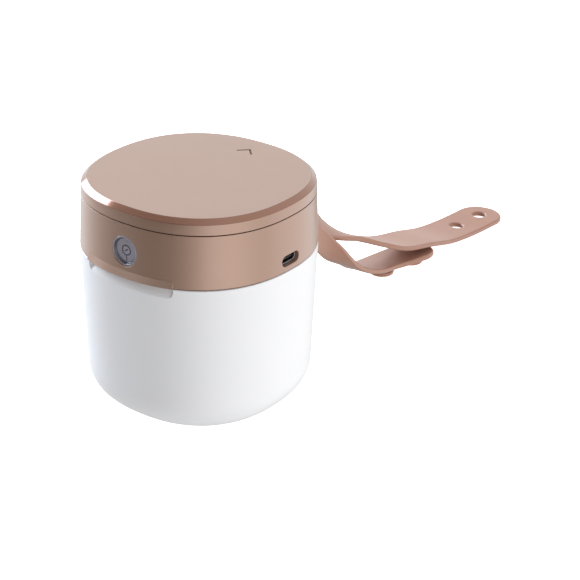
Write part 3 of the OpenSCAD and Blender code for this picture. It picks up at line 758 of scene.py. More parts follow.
@dataclass
class Bowl:
    """White lower case with its finger scoop, hinge knuckles and strap lugs, and the liner in it."""

    case: Case
    corner_r: float = 14.0
    wall: float = 2.4
    seat_w: float = 1.9
    flange_t: float = 1.2
    rim_step: float = 0.8
    band_height: float = 10.0
    band_slope: float = 3.0
    scoop_low: float = 57.1
    scoop_depth: float = 2.2
    scoop_corner: float = 2.5
    scoop_steep: float = 3.2
    edge: float = 0.4
    lip_r: float = 0.2
    foot_recess: float = 0.4
    foot_recess_r: float = 21.5
    knuckle_inner: float = 9.2
    knuckle_outer: float = 17.0
    lug_r: float = 4.2
    lug_t: float = 1.8
    lug_spread: float = 1.2
    lug_root_y: float = 40.0
    lug_edge: float = 0.35
    bar_gap: float = 0.06
    liner_wall: float = 1.2
    liner_gap: float = 0.3
    liner_taper: float = 0.9
    liner_mouth_r: float = 0.6
    flange_gap: float = 0.1
    flange_edge: float = 0.2

    @property
    def flange_z(self) -> float:
        """Height of the seat that the liner hangs on."""
        return self.case.rim_z - self.rim_step - self.flange_t

    @property
    def band_r(self) -> float:
        """Half width inside the thick band under the rim."""
        return self.case.rebate_r - self.seat_w

    def scoop(self, x: float, z: float) -> float:
        """Return how far the front wall stands out at (x, z): below zero in the scoop."""
        half, corner = self.case.scoop_half, self.scoop_corner
        side = half - abs(x)
        if side < corner and z < self.scoop_low + corner:
            away = math.hypot(corner - side, self.scoop_low + corner - z)
            side = corner - away
        slope = self.scoop_depth / (self.case.rim_z - self.scoop_low)
        depth = smooth_min(slope * (z - self.scoop_low), self.scoop_steep * side, 0.35)
        return smooth_min(0.0, -depth, 0.12)

    def wall_rows(self) -> list[Row]:
        """Return the levels of the shell, from the foot up the outside and down the inside."""
        case = self.case
        flat = case.bowl_r(self.corner_r) - self.corner_r
        recess, recess_r = self.foot_recess, self.foot_recess_r
        outside = [(0, recess), (recess_r, recess), (recess_r + 0.5, recess - 0.08)]
        outside += [(recess_r + 0.8, 0.1), (recess_r + 1.2, 0), (flat - 1, 0)]
        outside += arc((flat, self.corner_r), self.corner_r, -90, 0, 28)
        outside += [(case.bowl_r(z), z) for z in spaced(self.corner_r, self.scoop_low - 0.7, 5)[1:]]
        top = case.rim_z - self.edge
        front = [(case.bowl_r(z), z) for z in spaced(self.scoop_low - 0.5, top, RELIEF_STEP_MM)]
        front += arc((case.bowl_r(top) - self.edge, top), self.edge, 0, 90, 5)[1:]
        lip, seat_z = self.lip_r, self.flange_z
        inside = arc((case.rebate_r + lip, case.rim_z - lip), lip, 90, 180, 3)
        inside += [(case.rebate_r, seat_z + 0.1), (case.rebate_r - 0.1, seat_z), (self.band_r + lip, seat_z)]
        inside += [(self.band_r, seat_z - lip), (self.band_r, seat_z - self.band_height)]
        inner_z = seat_z - self.band_height - self.band_slope
        inside += [(case.bowl_r(z) - self.wall, z) for z in spaced(inner_z, self.corner_r + 1, 6)]
        inside += arc((flat, self.corner_r), self.corner_r - self.wall, 0, -90, 20) + [(0, self.wall)]
        return levels(outside) + levels(front, 1) + levels(inside)

    def shell(self) -> bpy.types.Object:
        """Return the bowl's wall."""
        half = self.case.scoop_half
        windows = ((half - 2.9, half + 0.4, 0.14), (-half - 0.4, -half + 2.9, 0.14))
        rings = self.case.rings(self.wall_rows(), self.case.angles(windows), self.scoop)
        return joined_rings(rings).piece("bowl_shell", WHITE_ABS)

    def lug(self, low: float, high: float, bar: Flat, bar_r: float) -> Skin:
        """Return one lug of the strap bar, with its hole."""
        tip = arc(bar, self.lug_r, 0, 180, 28)
        spread = self.lug_r + self.lug_spread
        root = [(-spread, self.lug_root_y), (spread, self.lug_root_y)]
        return slab(root + tip, [circle(bar, bar_r + self.bar_gap, 32)], low, high, self.lug_edge)

    def lugs(self) -> Skin:
        """Return both lugs, above and below the strap."""
        low, high = box_mm("strap_bar")
        bar = ((low.x + high.x) / 2, (low.y + high.y) / 2)
        bar_r = (high.x - low.x) / 2
        skin = self.lug(low.z, low.z + self.lug_t, bar, bar_r)
        return skin.add(self.lug(high.z - self.lug_t, high.z, bar, bar_r))

    def liner(self) -> bpy.types.Object:
        """Return the reflective cup that hangs in the rim."""
        case = self.case
        r = self.band_r - self.liner_gap
        corner = self.corner_r - self.wall - 1
        flat = r - self.liner_taper - corner
        floor_z = self.wall + self.liner_gap
        flange_r = case.rebate_r - self.flange_gap
        top = self.flange_z + self.flange_t
        inner_r = r - self.liner_wall
        seat_z, edge, mouth_r = self.flange_z, self.flange_edge, self.liner_mouth_r
        points = [(0, floor_z)] + arc((flat, floor_z + corner), corner, -90, 0, 20)
        points += [(r - 0.02, seat_z - 0.3), (r + 0.2, seat_z)]
        points += [(flange_r - edge, seat_z), (flange_r, seat_z + edge)]
        points += arc((flange_r - edge, top - edge), edge, 0, 90, 3)
        points += arc((inner_r + mouth_r, top - mouth_r), mouth_r, 90, 180, 6)
        points += arc((flat, floor_z + corner), corner - self.liner_wall, 0, -90, 20)
        points += [(0, floor_z + self.liner_wall)]
        return joined_rings(case.rings(levels(points), case.angles())).piece("liner_cup", METALLISED)

    def build(self) -> None:
        """Build the bowl, its knuckles, its lugs and the liner."""
        settle(self.shell(), Body.BASE, "white_shell", "bowl")
        knuckles = Knuckle(self.case)
        pair = knuckles.on_bowl(self.knuckle_inner, self.knuckle_outer)
        pair.add(knuckles.on_bowl(-self.knuckle_outer, -self.knuckle_inner))
        settle(pair.piece("bowl_knuckles", WHITE_ABS), Body.BASE, "white_shell")
        settle(self.lugs().piece("strap_lugs", WHITE_ABS), Body.BASE, "white_shell")
        settle(self.liner(), Body.BASE, "bright_liner", "inner_liner")


@dataclass
class Head:
    """Tan head: the ring with its thumb ledge, the cap with its arrow, and the seal under it."""

    case: Case
    edge: float = 0.3
    seam_r: float = 0.07
    seam_half: float = 0.2
    ledge_height: float = 2.7
    ledge_out: float = 0.9
    ledge_steep: float = 6.0
    chamfer_height: float = 1.8
    chamfer_in: float = 1.95
    chamfer_edge: float = 0.18
    cap_sharp_deg: float = 60.0
    draft: float = 0.2
    top_wall: float = 2.2
    lip_wall: float = 1.4
    lip_height: float = 2.8
    cut_depth: float = 3.0
    hole_sides: int = 96
    hole_gap: float = 0.05
    hole_flare: float = 0.2
    neck_in: float = 0.68
    neck_length: float = 0.75
    slot_gap: float = 0.4
    slot_flare: float = 0.3
    knuckle_half: float = 9.0
    arrow_tip: float = 29.6
    arrow_stroke: float = 5.0
    arrow_width: float = 0.72
    arrow_depth: float = 0.3
    seal_width: float = 1.4

    def ledge(self, x: float, z: float) -> float:
        """Return how far the thumb ledge stands out of the front wall at (x, z)."""
        rise = self.ledge_out * (self.case.foot_z + self.ledge_height - z) / self.ledge_height
        side = self.ledge_steep * (self.case.scoop_half - abs(x))
        return -smooth_min(0.0, -smooth_min(rise, side, 0.2), 0.06)

    def ring_rows(self) -> list[Row]:
        """Return the levels of the head ring, once round its section."""
        case, edge = self.case, self.edge
        foot, top = case.foot_z, case.seam_z - self.seam_half
        ledge_top = foot + self.ledge_height
        front = arc((case.rim_r - edge, foot + edge), edge, -90, 0, 4)
        front += [(case.ring_r(z), z) for z in spaced(foot + edge, ledge_top + 0.3, RELIEF_STEP_MM)[1:]]
        rest = [(case.ring_r(z), z) for z in spaced(ledge_top + 0.5, top - self.seam_r, 2.5)]
        rest += arc((case.half_width - self.seam_r, top - self.seam_r), self.seam_r, 0, 90, 4)[1:]
        rest += [(case.ring_in_r + 0.1, top), (case.ring_in_r, top - 0.1)]
        start = [(case.ring_in_r, foot + 0.2), (case.ring_in_r + 0.2, foot)]
        return levels(start) + levels(front, 1) + levels(rest)

    def hole_cutter(self) -> Skin:
        """Return the space of the button's hole: a flared edge, a short neck and the sleeve's wider bore."""
        low, high = box_mm("button_bezel")
        x0, z0 = (low.x + high.x) / 2, (low.z + high.z) / 2
        bore = (high.x - low.x) / 2 + self.hole_gap
        deep = -self.case.ring_in_r + self.cut_depth
        rings = []
        for wider, depth in FLARE:
            ring = []
            for x, z in circle((x0, z0), bore - self.neck_in + wider * self.hole_flare, self.hole_sides):
                wall = -self.case.across(x, self.case.ring_r(z))
                ring.append((x, wall + depth * self.hole_flare - CLEAR_MM, z))
            rings.append(ring)
        neck = -self.case.half_width + self.neck_length
        rings.append([(x, neck, z) for x, _, z in rings[-1]])
        wide = circle((x0, z0), bore, self.hole_sides)
        rings += [[(x, y, z) for x, z in wide] for y in (neck, deep)]
        return joined_rings(rings)

    def slot_cutter(self) -> Skin:
        """Return the space of the charging slot, with a flare that follows the wall."""
        low, high = box_mm("usb_socket")
        y0, z0 = (low.y + high.y) / 2, (low.z + high.z) / 2
        half_w = (high.y - low.y) / 2 + self.slot_gap
        half_h = (high.z - low.z) / 2 + self.slot_gap
        rings = []
        for wider, depth in FLARE:
            ring = []
            for y, z in stadium((y0, z0), half_w - half_h, half_h + wider * self.slot_flare, 20):
                wall = self.case.across(y, self.case.ring_r(z))
                ring.append((wall - depth * self.slot_flare + CLEAR_MM, y, z))
            rings.append(ring)
        rings.append([(self.case.ring_in_r - self.cut_depth, y, z) for _, y, z in rings[-1]])
        return joined_rings(rings)

    def ring(self) -> bpy.types.Object:
        """Return the head ring with its hole and slot."""
        half = self.case.scoop_half
        windows = ((half - 0.4, half + 0.1, 0.05), (-half - 0.1, -half + 0.4, 0.05))
        rings = self.case.rings(self.ring_rows(), self.case.angles(windows), self.ledge)
        ring = joined_rings(rings, looped=True).piece("head_ring_shell", TAN_ABS)
        cut(ring, self.hole_cutter(), TAN_ABS)
        cut(ring, self.slot_cutter(), TAN_ABS)
        return ring

    def arrow_cutter(self) -> Skin:
        """Return the space of the arrow head, with round stroke ends and sloping sides."""
        reach = self.arrow_stroke - self.arrow_width / 2
        leg = reach / math.sqrt(2)
        top = self.case.top_z
        rings = []
        for share, rise in ((0.75, -self.arrow_depth), (1.0, -0.05), (1.25, 0.08), (1.25, 0.5)):
            r = self.arrow_width / 2 * share
            miter = r * math.sqrt(2)
            loop = [(0.0, self.arrow_tip + miter)]
            loop += arc((-leg, self.arrow_tip - leg), r, 135, 315, 10)
            loop += [(0.0, self.arrow_tip - miter)]
            loop += arc((leg, self.arrow_tip - leg), r, 225, 405, 10)
            rings.append([(x, y, top + rise) for x, y in loop])
        return joined_rings(rings)

    def cap(self) -> bpy.types.Object:
        """Return the cap with its chamfer, lip and arrow."""
        case, edge = self.case, self.chamfer_edge
        low, top = case.seam_z + self.seam_half, case.top_z
        lip_r = case.ring_in_r - 0.3
        lip_in = lip_r - self.lip_wall
        shoulder = case.half_width - self.draft
        slope = math.degrees(math.atan2(self.chamfer_height, self.chamfer_in))
        lean = 90 - slope
        roof, corner_z = top - self.top_wall, top - self.chamfer_height
        lip_z = case.seam_z - self.lip_height
        points = [(0, roof), (lip_in - 0.3, roof), (lip_in, roof - 0.3), (lip_in, lip_z)]
        points += [(lip_r - 0.3, lip_z), (lip_r, lip_z + 0.3), (lip_r, low - 0.05), (lip_r + 0.05, low)]
        points += arc((case.half_width - self.seam_r, low + self.seam_r), self.seam_r, -90, 0, 4)
        points += [(case.half_width - self.draft / 2, (low + top) / 2 - 0.4)]
        points += arc((shoulder - edge * 3, corner_z - edge), edge * 3, 0, lean, 4)
        inner_r = shoulder - self.chamfer_in
        points += arc((inner_r - edge, top - edge * 2), edge * 2, lean, 90, 4)
        points += [(inner_r - 2, top), (0, top)]
        rings = case.rings(levels(points), case.angles())
        cap = joined_rings(rings).piece("cap_shell", TAN_ABS, self.cap_sharp_deg)
        cut(cap, self.arrow_cutter(), BROWN_INK, self.cap_sharp_deg)

        def on_painted_shade_bevel(at: Vector, normal: Vector) -> bool:
            """Tell whether a face lies on the bevel, and not in the arrow: these faces take the darker tan,
            which is painted shade.
            """
            return 0.35 < normal.z < 0.97 and corner_z - 0.8 < at.z and at.length > 60

        # The bevel's faces take the darker tan: painted shade, on top of their real polish
        dress_faces(cap, TAN_BEVEL_PAINTED_SHADE, on_painted_shade_bevel)
        return cap

    def seal(self) -> bpy.types.Object:
        """Return the soft seal, a ring with a rounded lip."""
        low, high = box_mm("rim_seal")
        outer = high.x
        inner = outer - self.seal_width
        middle = (outer + inner) / 2
        half = self.seal_width / 2
        points = arc((middle, low.z + half), half, 180, 360, 12) + [(outer, high.z), (inner, high.z)]
        rings = self.case.rings(levels(points), self.case.angles())
        return joined_rings(rings, looped=True).piece("seal_ring", SEAL_SILICONE)

    def build(self) -> None:
        """Build the ring, the cap, the head's knuckle and the seal."""
        settle(self.ring(), Body.HEAD, "tan_shell", "head_ring")
        settle(self.cap(), Body.HEAD, "tan_shell", "top_cap")
        knuckle = Knuckle(self.case).on_head(-self.knuckle_half, self.knuckle_half)
        settle(knuckle.piece("head_knuckle", TAN_ABS), Body.HEAD, "tan_shell")
        settle(self.seal(), Body.HEAD, "seal_rubber", "rim_seal")


@dataclass
class PushButton:
    """Translucent push button, dished and marked with a ring, a bar and a stem, in its clear sleeve."""

    edge: float = 0.3
    rim: float = 0.5
    slope: float = 0.65
    dish: float = 1.0
    mark_r: float = 1.85
    mark_line: float = 0.3
    mark_depth: float = 0.14
    mark_soft: float = 0.12
    thin_share: float = 0.8
    stem: tuple[float, float] = (2.0, 4.1)
    bar_half: float = 0.8
    bar_tilt_deg: float = 35.0
    sleeve_back: float = 1.05
    sides: int = 200
    face_step: float = 0.07
    flange_t: float = 1.0
    bore_wall: float = 0.6
    bore_gap: float = 0.1
    radius: float = field(init=False)

    def __post_init__(self) -> None:
        """Work out the button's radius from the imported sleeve."""
        low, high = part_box("button_bezel")
        self.radius = (high.x - low.x) / MM / 2 - self.bore_wall - self.bore_gap

    def mark(self, x: float, z: float) -> float:
        """Return how deep the engraved mark is at (x, z) from its own middle."""
        line = self.mark_line
        ring = abs(math.hypot(x, z) - self.mark_r) - line
        low, high = self.stem
        thin = line * self.thin_share
        stem = max(abs(x) - thin, -z - high, z + low)
        tilt = math.radians(self.bar_tilt_deg)
        along = x * math.cos(tilt) + z * math.sin(tilt)
        over = -x * math.sin(tilt) + z * math.cos(tilt)
        bar = max(abs(along) - self.bar_half, abs(over) - thin)
        nearest = min(ring, stem, bar)
        return self.mark_depth * min(1.0, max(0.0, 0.5 - nearest / self.mark_soft))

    def face(self, r: float) -> float:
        """Return how deep the dished face lies at a radius from the middle."""
        t = min(1.0, max(0.0, (self.radius - self.rim - r) / self.slope))
        return self.dish * t * t * (3 - 2 * t)

    def circle_at(self, r: float, y: float, z0: float) -> list[Spot]:
        """Return a ring of points round the button's axis, which runs along Y."""
        return [(x, y, z0 + z) for x, z in circle_points(r, self.sides)]

    def button(self) -> bpy.types.Object:
        """Return the button, facing -Y."""
        low, high = box_mm("power_button")
        z0 = (low.z + high.z) / 2
        flange_r = (high.x - low.x) / 2
        radius, front, back = self.radius, low.y, high.y
        rings = [[(0.0, front + self.face(0) + self.mark(0, 0), z0)]]
        for r in spaced(self.face_step, radius - self.edge, self.face_step):
            spots = circle_points(r, self.sides)
            rings.append([(x, front + self.face(r) + self.mark(x, z), z0 + z) for x, z in spots])
        depth = back - front
        profile = arc((radius - self.edge, self.edge), self.edge, -90, 0, 5)[1:]
        step = depth - self.flange_t
        profile += [(radius, step - 0.1), (flange_r, step), (flange_r, depth)]
        rings += [self.circle_at(r, front + y, z0) for r, y in profile]
        rings.append([(0.0, back, z0)])
        piece = joined_rings(rings).piece("button_cap", SMOKED_ACRYLIC, 50)
        side_from = self.radius - self.rim - self.slope

        def deep(at: Vector, normal: Vector) -> bool:
            """Tell whether a face lies in the mark or on the side of the dish; these faces take the dark
            acrylic, which is painted shade on the dish's side.
            """
            x, z = at.x, at.z - z0
            in_dish_shade = side_from - 0.1 < math.hypot(x, z) < self.radius - self.rim - 0.05
            return at.y < front + 2 and (in_dish_shade or self.mark(x, z) > self.mark_depth * 0.45)

        # Painted shade: the dish's side wall is made dark, and the engraved mark is darker too
        dress_faces(piece, ACRYLIC_DISH_SHADE_AND_MARK, deep)
        return piece

    def sleeve(self) -> bpy.types.Object:
        """Return the clear sleeve with its rounded front lip."""
        low, high = box_mm("button_bezel")
        z0 = (low.z + high.z) / 2
        outer = (high.x - low.x) / 2
        inner = self.radius + self.bore_gap
        middle, half = (outer + inner) / 2, (outer - inner) / 2
        depth = high.y - low.y
        profile = [(outer, depth)] + arc((middle, half), half, 0, -180, 10) + [(inner, depth)]
        rings = [self.circle_at(r, min(high.y, low.y + self.sleeve_back + y), z0) for r, y in profile]
        return joined_rings(rings, looped=True).piece("button_sleeve", CLEAR_ACRYLIC)

    def build(self) -> None:
        """Build the button and its sleeve."""
        settle(self.button(), Body.BUTTON, "button_plastic", "power_button")
        settle(self.sleeve(), Body.HEAD, "clear_sleeve", "button_bezel")


@dataclass
class ChargingSocket:
    """Drawn metal shell of the charging socket with its contact tongue."""

    wall: float = 0.3
    sink: float = 1.1
    lip: float = 0.12
    tongue_edge: float = 0.12
    tongue_nose: float = 0.5
    contact_count: int = 12
    contact_w: float = 0.25
    contact_pitch: float = 0.5
    contact_out: float = 0.03
    contact_back: float = 0.7
    contact_edge: float = 0.01
    contact_length: float = 3.6

    def shell(self) -> bpy.types.Object:
        """Return the shell, closed at the back."""
        low, high = box_mm("usb_socket")
        y0, z0 = (low.y + high.y) / 2, (low.z + high.z) / 2
        half_w, half_h = (high.y - low.y) / 2, (high.z - low.z) / 2
        lip, wall = self.lip, self.wall
        front = high.x - self.sink
        stages = [(lip, low.x), (0, low.x + lip), (0, front - lip), (lip / 2, front - lip / 4)]
        stages += [(wall / 2, front), (wall - lip / 2, front - lip / 4), (wall, front - lip)]
        stages += [(wall, low.x + wall * 2)]
        run = half_w - half_h
        rings = [[(x, y, z) for y, z in stadium((y0, z0), run, half_h - d, 16)] for d, x in stages]
        return joined_rings(rings).piece("socket_shell", STAINLESS)

    def tongue(self) -> Skin:
        """Return the plastic tongue, a plate with rounded edges."""
        low, high = box_mm("usb_tongue")
        nose = self.tongue_nose
        outline = [(low.x, low.y), (high.x - nose, low.y), (high.x, low.y + nose)]
        outline += [(high.x, high.y - nose), (high.x - nose, high.y), (low.x, high.y)]
        return slab(outline, [], low.z, high.z, self.tongue_edge)

    def contacts(self) -> Skin:
        """Return the rows of contacts on both faces of the tongue."""
        low, high = box_mm("usb_tongue")
        skin = Skin()
        tip, out = high.x - self.contact_back, self.contact_out
        end = tip - self.contact_length
        for side_z in (low.z, high.z):
            for i in range(self.contact_count):
                y = (i - (self.contact_count - 1) / 2) * self.contact_pitch
                a, b = y - self.contact_w / 2, y + self.contact_w / 2
                outline = [(end, a), (tip, a), (tip, b), (end, b)]
                skin.add(slab(outline, [], side_z - out, side_z + out, self.contact_edge, 1))
        return skin

    def build(self) -> None:
        """Build the shell, the tongue and the contacts."""
        settle(self.shell(), Body.HEAD, "steel", "usb_socket")
        settle(self.tongue().piece("socket_tongue", BLACK_NYLON), Body.HEAD, "black_plastic", "usb_tongue")
        settle(self.contacts().piece("socket_contacts", GOLD_PLATE), Body.HEAD, "steel")


@dataclass(frozen=True)
class Station:
    """One place on a tail of the strap: sideways place, distance behind the bar, lift, roll, broadening."""

    x: float
    behind: float
    lift: float
    roll_deg: float
    share: float


@dataclass(frozen=True)
class StrapFrame:
    """Local axes of the strap at a distance along it."""

    along: float
    at: Vector
    wide: Vector
    normal: Vector
    width: float


@dataclass
class Strap:
    """Silicone strap, moulded flat and then bent along its path round the bar."""

    thickness: float = 2.2
    root_w: float = 8.5
    end_w: float = 20.4
    loop_r: float = 3.1
    hole_r: float = 3.1
    snap_pitch: float = 18.0
    edge: float = 0.7
    row_step: float = 1.3
    loop_step: float = 0.4
    loop_turns: int = 24
    column_step: float = 1.8
    stud_height: float = 3.0
    stud_head_r: float = 5.4
    stud_head_height: float = 2.0
    stud_neck_r: float = 2.8
    upper: tuple[Station, ...] = (
        Station(-3.2, 5, 0.995, -90, 0),
        Station(-3.7, 14, 0.935, -90, 0),
        Station(-4, 27.5, 0.8, -72, 0.04),
        Station(-4, 38.5, 0.645, -34, 0.13),
        Station(-3, 53.5, 0.48, 4, 0.3),
        Station(-1.5, 66.5, 0.355, 3, 0.55),
        Station(-0.5, 82.5, 0.225, 0, 0.84),
        Station(-0.3, 101.5, 0.135, 0, 0.97),
        Station(0, 118.5, 0.05, 0, 1),
        Station(0.7, 135.5, 0.012, 0, 1),
        Station(1.9, 153.5, 0.004, 0, 1),
    )
    lower: tuple[Station, ...] = (
        Station(3.2, 5, 0.995, 90, 0),
        Station(4, 12.5, 0.9, 90, 0),
        Station(4, 21.5, 0.715, 84, 0),
        Station(3.5, 30.5, 0.535, 56, 0.04),
        Station(2.3, 45.5, 0.275, 6, 0.17),
        Station(0, 61.5, 0.085, 6, 0.63),
        Station(-1.3, 77.5, 0.01, 8, 0.92),
        Station(2.2, 95, 0, 6, 0.97),
    )

    @property
    def bar(self) -> Vector:
        """Middle of the strap bar."""
        low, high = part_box("strap_bar")
        return (low + high) / 2 / MM

    def placed(self, tail: tuple[Station, ...], low: float) -> list[list[float]]:
        """Return a tail's stations as centre, roll and width, for a tail that lies at a height."""
        bar = self.bar
        return [
            [s.x, bar.y + s.behind, low + s.lift * (bar.z - low), s.roll_deg,
             self.root_w + s.share * (self.end_w - self.root_w)]
            for s in tail
        ]

    def curve(self, stations: list[list[float]], steps: int = 16) -> list[list[float]]:
        """Return a smooth curve through stations, in all their values at once."""
        first = [2 * a - b for a, b in zip(stations[0], stations[1])]
        last = [2 * a - b for a, b in zip(stations[-1], stations[-2])]
        all_of = [first] + stations + [last]
        out = []
        for i in range(1, len(all_of) - 2):
            for k in range(steps):
                t = k / steps
                out.append([
                    0.5 * (
                        2 * b + (c - a) * t + (2 * a - 5 * b + 4 * c - d) * t * t
                        + (3 * b - a - 3 * c + d) * t ** 3
                    )
                    for a, b, c, d in zip(*all_of[i - 1:i + 3])
                ])
        return out + [stations[-1]]

    def tail_frames(self, stations: list[list[float]], turn: float) -> list[StrapFrame]:
        """Return the local axes along one tail, from the bar to its tip."""
        rows = self.curve(stations)
        spots = [Vector(row[:3]) for row in rows]
        out = []
        for i, row in enumerate(rows):
            after = spots[min(i + 1, len(rows) - 1)]
            before = spots[max(i - 1, 0)] if i < len(rows) - 1 else spots[-2]
            tangent = (after - before).normalized()
            flat = (Vector((1, 0, 0)) - tangent * tangent.x).normalized()
            upright = flat.cross(tangent)
            roll = math.radians(row[3])
            wide = math.cos(roll) * flat + math.sin(roll) * upright
            out.append(StrapFrame(0, spots[i], wide * turn, wide.cross(tangent), row[4]))
        return out

    def frames(self) -> list[StrapFrame]:
        """Return the local axes from the studs' end, round the bar, to the holes' end."""
        half = self.thickness / 2
        studs = self.tail_frames(self.placed(self.lower, self.stud_height + half), -1)
        holes = self.tail_frames(self.placed(self.upper, half), 1)
        bar, down = self.bar, Vector((0, 0, -1))
        loop = []
        for k in range(self.loop_turns + 1):
            angle = -math.pi * k / self.loop_turns
            tangent = Vector((math.sin(angle), -math.cos(angle), 0))
            at = Vector((self.loop_r * math.cos(angle), bar.y + self.loop_r * math.sin(angle), bar.z))
            loop.append(StrapFrame(0, at, down, down.cross(tangent), self.root_w))
        chain = list(reversed(studs)) + loop + holes
        out = []
        along = 0.0
        for i, item in enumerate(chain):
            if i > 0:
                along += (item.at - chain[i - 1].at).length
            out.append(StrapFrame(along, item.at, item.wide, item.normal, item.width))
        return out

    def frame_at(self, frames: list[StrapFrame], marks: list[float], along: float) -> StrapFrame:
        """Return the axes at a distance along the strap; past an end the strap runs straight on."""
        if along <= 0 or along >= marks[-1]:
            end, near = (frames[0], frames[1]) if along <= 0 else (frames[-1], frames[-2])
            way = (end.at - near.at).normalized()
            beyond = -along if along <= 0 else along - marks[-1]
            return StrapFrame(along, end.at + way * beyond, end.wide, end.normal, end.width)
        i = bisect.bisect_right(marks, along) - 1
        a, b = frames[i], frames[i + 1]
        t = (along - a.along) / (b.along - a.along)
        return StrapFrame(
            along, a.at.lerp(b.at, t), a.wide.lerp(b.wide, t).normalized(),
            a.normal.lerp(b.normal, t).normalized(), a.width + (b.width - a.width) * t,
        )

    def flat_skin(self, frames: list[StrapFrame], marks: list[float]) -> Skin:
        """Return the strap as it leaves its mould: x along it, y across it."""
        length = marks[-1]
        bends = [f.along for f in frames if abs(f.at.y - self.bar.y) < self.loop_r + 0.1]
        low, high = min(bends) - 1, max(bends) + 1
        stops = spaced(0, low, self.row_step) + spaced(low, high, self.loop_step)[1:]
        stops += spaced(high, length, self.row_step)[1:]
        halves = [self.frame_at(frames, marks, s).width / 2 for s in stops]
        outline = [(s, -h) for s, h in zip(stops, halves)]
        outline += arc((length, 0), halves[-1], -90, 90, 28)[1:-1]
        outline += [(s, h) for s, h in reversed(list(zip(stops, halves)))]
        outline += arc((0, 0), halves[0], 90, 270, 28)[1:-1]
        holes = [circle((length - back, 0), self.hole_r, 48) for back in (0, self.snap_pitch)]
        inside = []
        past = [length + self.column_step * i for i in (1, 2, 3, 4)]
        for s, h in zip(stops + past, halves + [halves[-1]] * len(past)):
            beyond = max(0.0, s - length)
            reach = math.sqrt(max(0.0, h * h - beyond * beyond)) - self.edge - 0.5
            if reach <= 0.3:
                continue
            count = max(1, round(2 * reach / self.column_step))
            for i in range(count + 1):
                u = -reach + 2 * reach * i / count
                clear = min(math.hypot(s - length + back, u) for back in (0, self.snap_pitch))
                if clear > self.hole_r + self.edge + 0.4:
                    inside.append((s, u))
        half = self.thickness / 2
        return slab(outline, holes, -half, half, self.edge, 4, inside)

    def build(self) -> None:
        """Build the strap and its two studs."""
        frames = self.frames()
        marks = [f.along for f in frames]

        def bend(p: Spot) -> Spot:
            """Carry a point of the flat strap to its place on the path."""
            f = self.frame_at(frames, marks, p[0])
            return tuple(f.at + f.wide * p[1] + f.normal * p[2])

        strap = self.flat_skin(frames, marks).moved(bend).piece("silicone_strap", TAN_SILICONE, 75)
        settle(strap, Body.STRAP, "tan_silicone", "strap")
        settle(self.studs(frames).piece("strap_studs", TAN_SILICONE), Body.STRAP, "tan_silicone")

    def studs(self, frames: list[StrapFrame]) -> Skin:
        """Return the two mushroom studs under the lower tail."""
        head_r, head_h, neck = self.stud_head_r, self.stud_head_height, self.stud_neck_r
        profile = [(0, 0), (head_r - 1.1, 0)] + arc((head_r - 0.7, 0.75), 0.7, -70, 0, 4)
        profile += arc((head_r - 0.6, head_h - 0.6), 0.6, 0, 80, 4)
        profile += arc((neck + 0.4, head_h + 0.4), 0.4, -90, -180, 3)
        profile += [(neck, self.stud_height), (neck, self.stud_height + 0.9), (0, self.stud_height + 0.9)]
        tip = frames[0].at
        way = (self.placed_spot(-2) - self.placed_spot(-1)).normalized()
        skin = Skin()
        for back in (0, self.snap_pitch):
            at = tip + way * back
            skin.add(turned(profile, 64).moved(lambda p: (p[0] + at.x, p[1] + at.y, p[2])))
        return skin

    def placed_spot(self, number: int) -> Vector:
        """Return the centre of one station of the lower tail."""
        return Vector(self.placed(self.lower, self.stud_height + self.thickness / 2)[number][:3])


@dataclass
class ScrewSet:
    """Pan head screws with a cross recess under the floor plate."""

    head_r: float = 2.0
    head_height: float = 1.0
    shank_r: float = 1.0
    length: float = 7.0
    thread_depth: float = 0.18
    thread_rise: float = 0.22
    thread_pitch: float = 0.45
    recess: float = 0.55
    recess_arm: float = 1.15
    recess_half: float = 0.24

    def screw(self) -> Skin:
        """Return one screw with its head down and its axis on Z."""
        profile = [(0, 0.1), (1.0, 0.06), (self.head_r - 0.35, 0.0)]
        profile += arc((self.head_r - 0.3, 0.3), 0.3, -80, 0, 4)
        profile += [(self.head_r, self.head_height), (self.shank_r, self.head_height)]
        z = self.head_height + 0.3
        while z < self.length - 0.8:
            profile += [(self.shank_r, z), (self.shank_r - self.thread_depth, z + self.thread_rise)]
            z += self.thread_pitch
        profile += [(self.shank_r - 0.2, self.length - 0.5), (0.3, self.length), (0, self.length)]
        return turned(profile, 40)

    def recess_cutter(self) -> Skin:
        """Return the space of the cross recess."""
        arm, half = self.recess_arm, self.recess_half
        loop = [
            (arm, -half), (arm, half), (half, half), (half, arm), (-half, arm), (-half, half),
            (-arm, half), (-arm, -half), (-half, -half), (-half, -arm), (half, -arm), (half, -half),
        ]
        depths = ((1.0, -0.3), (1.0, 0.1), (0.7, self.recess))
        return joined_rings([[(x * k, y * k, z) for x, y in loop] for k, z in depths])

    def build(self) -> None:
        """Build the four screws as one piece."""
        low, high = box_mm("head_screws")
        spread_x, spread_y = high.x - self.head_r, high.y - self.head_r
        one = self.screw().piece("screw", STAINLESS)
        cut(one, self.recess_cutter(), STAINLESS)
        spots = [Vector(v.co) / MM for v in one.data.vertices]
        faces = [tuple(p.vertices) for p in one.data.polygons]
        bpy.data.objects.remove(one)
        skin = Skin()
        for x, y in ((-1, -1), (-1, 1), (1, -1), (1, 1)):
            shift = (x * spread_x, y * spread_y, low.z)
            skin.add(Skin([(p.x + shift[0], p.y + shift[1], p.z + shift[2]) for p in spots], faces))
        settle(skin.piece("floor_screws", STAINLESS), Body.HEAD, "steel", "head_screws")


@dataclass(frozen=True)
class Glow:
    """Soft patch of the surroundings: where it is, how wide it is and what it adds or takes away."""

    azimuth_deg: float
    height_deg: float
    inner_deg: float
    outer_deg: float
    strength: float
    colour: str = "ffffff"

    def way(self) -> Spot:
        """Return the direction of its middle."""
        turn, rise = math.radians(self.azimuth_deg), math.radians(self.height_deg)
        return (math.cos(turn) * math.cos(rise), math.sin(turn) * math.cos(rise), math.sin(rise))


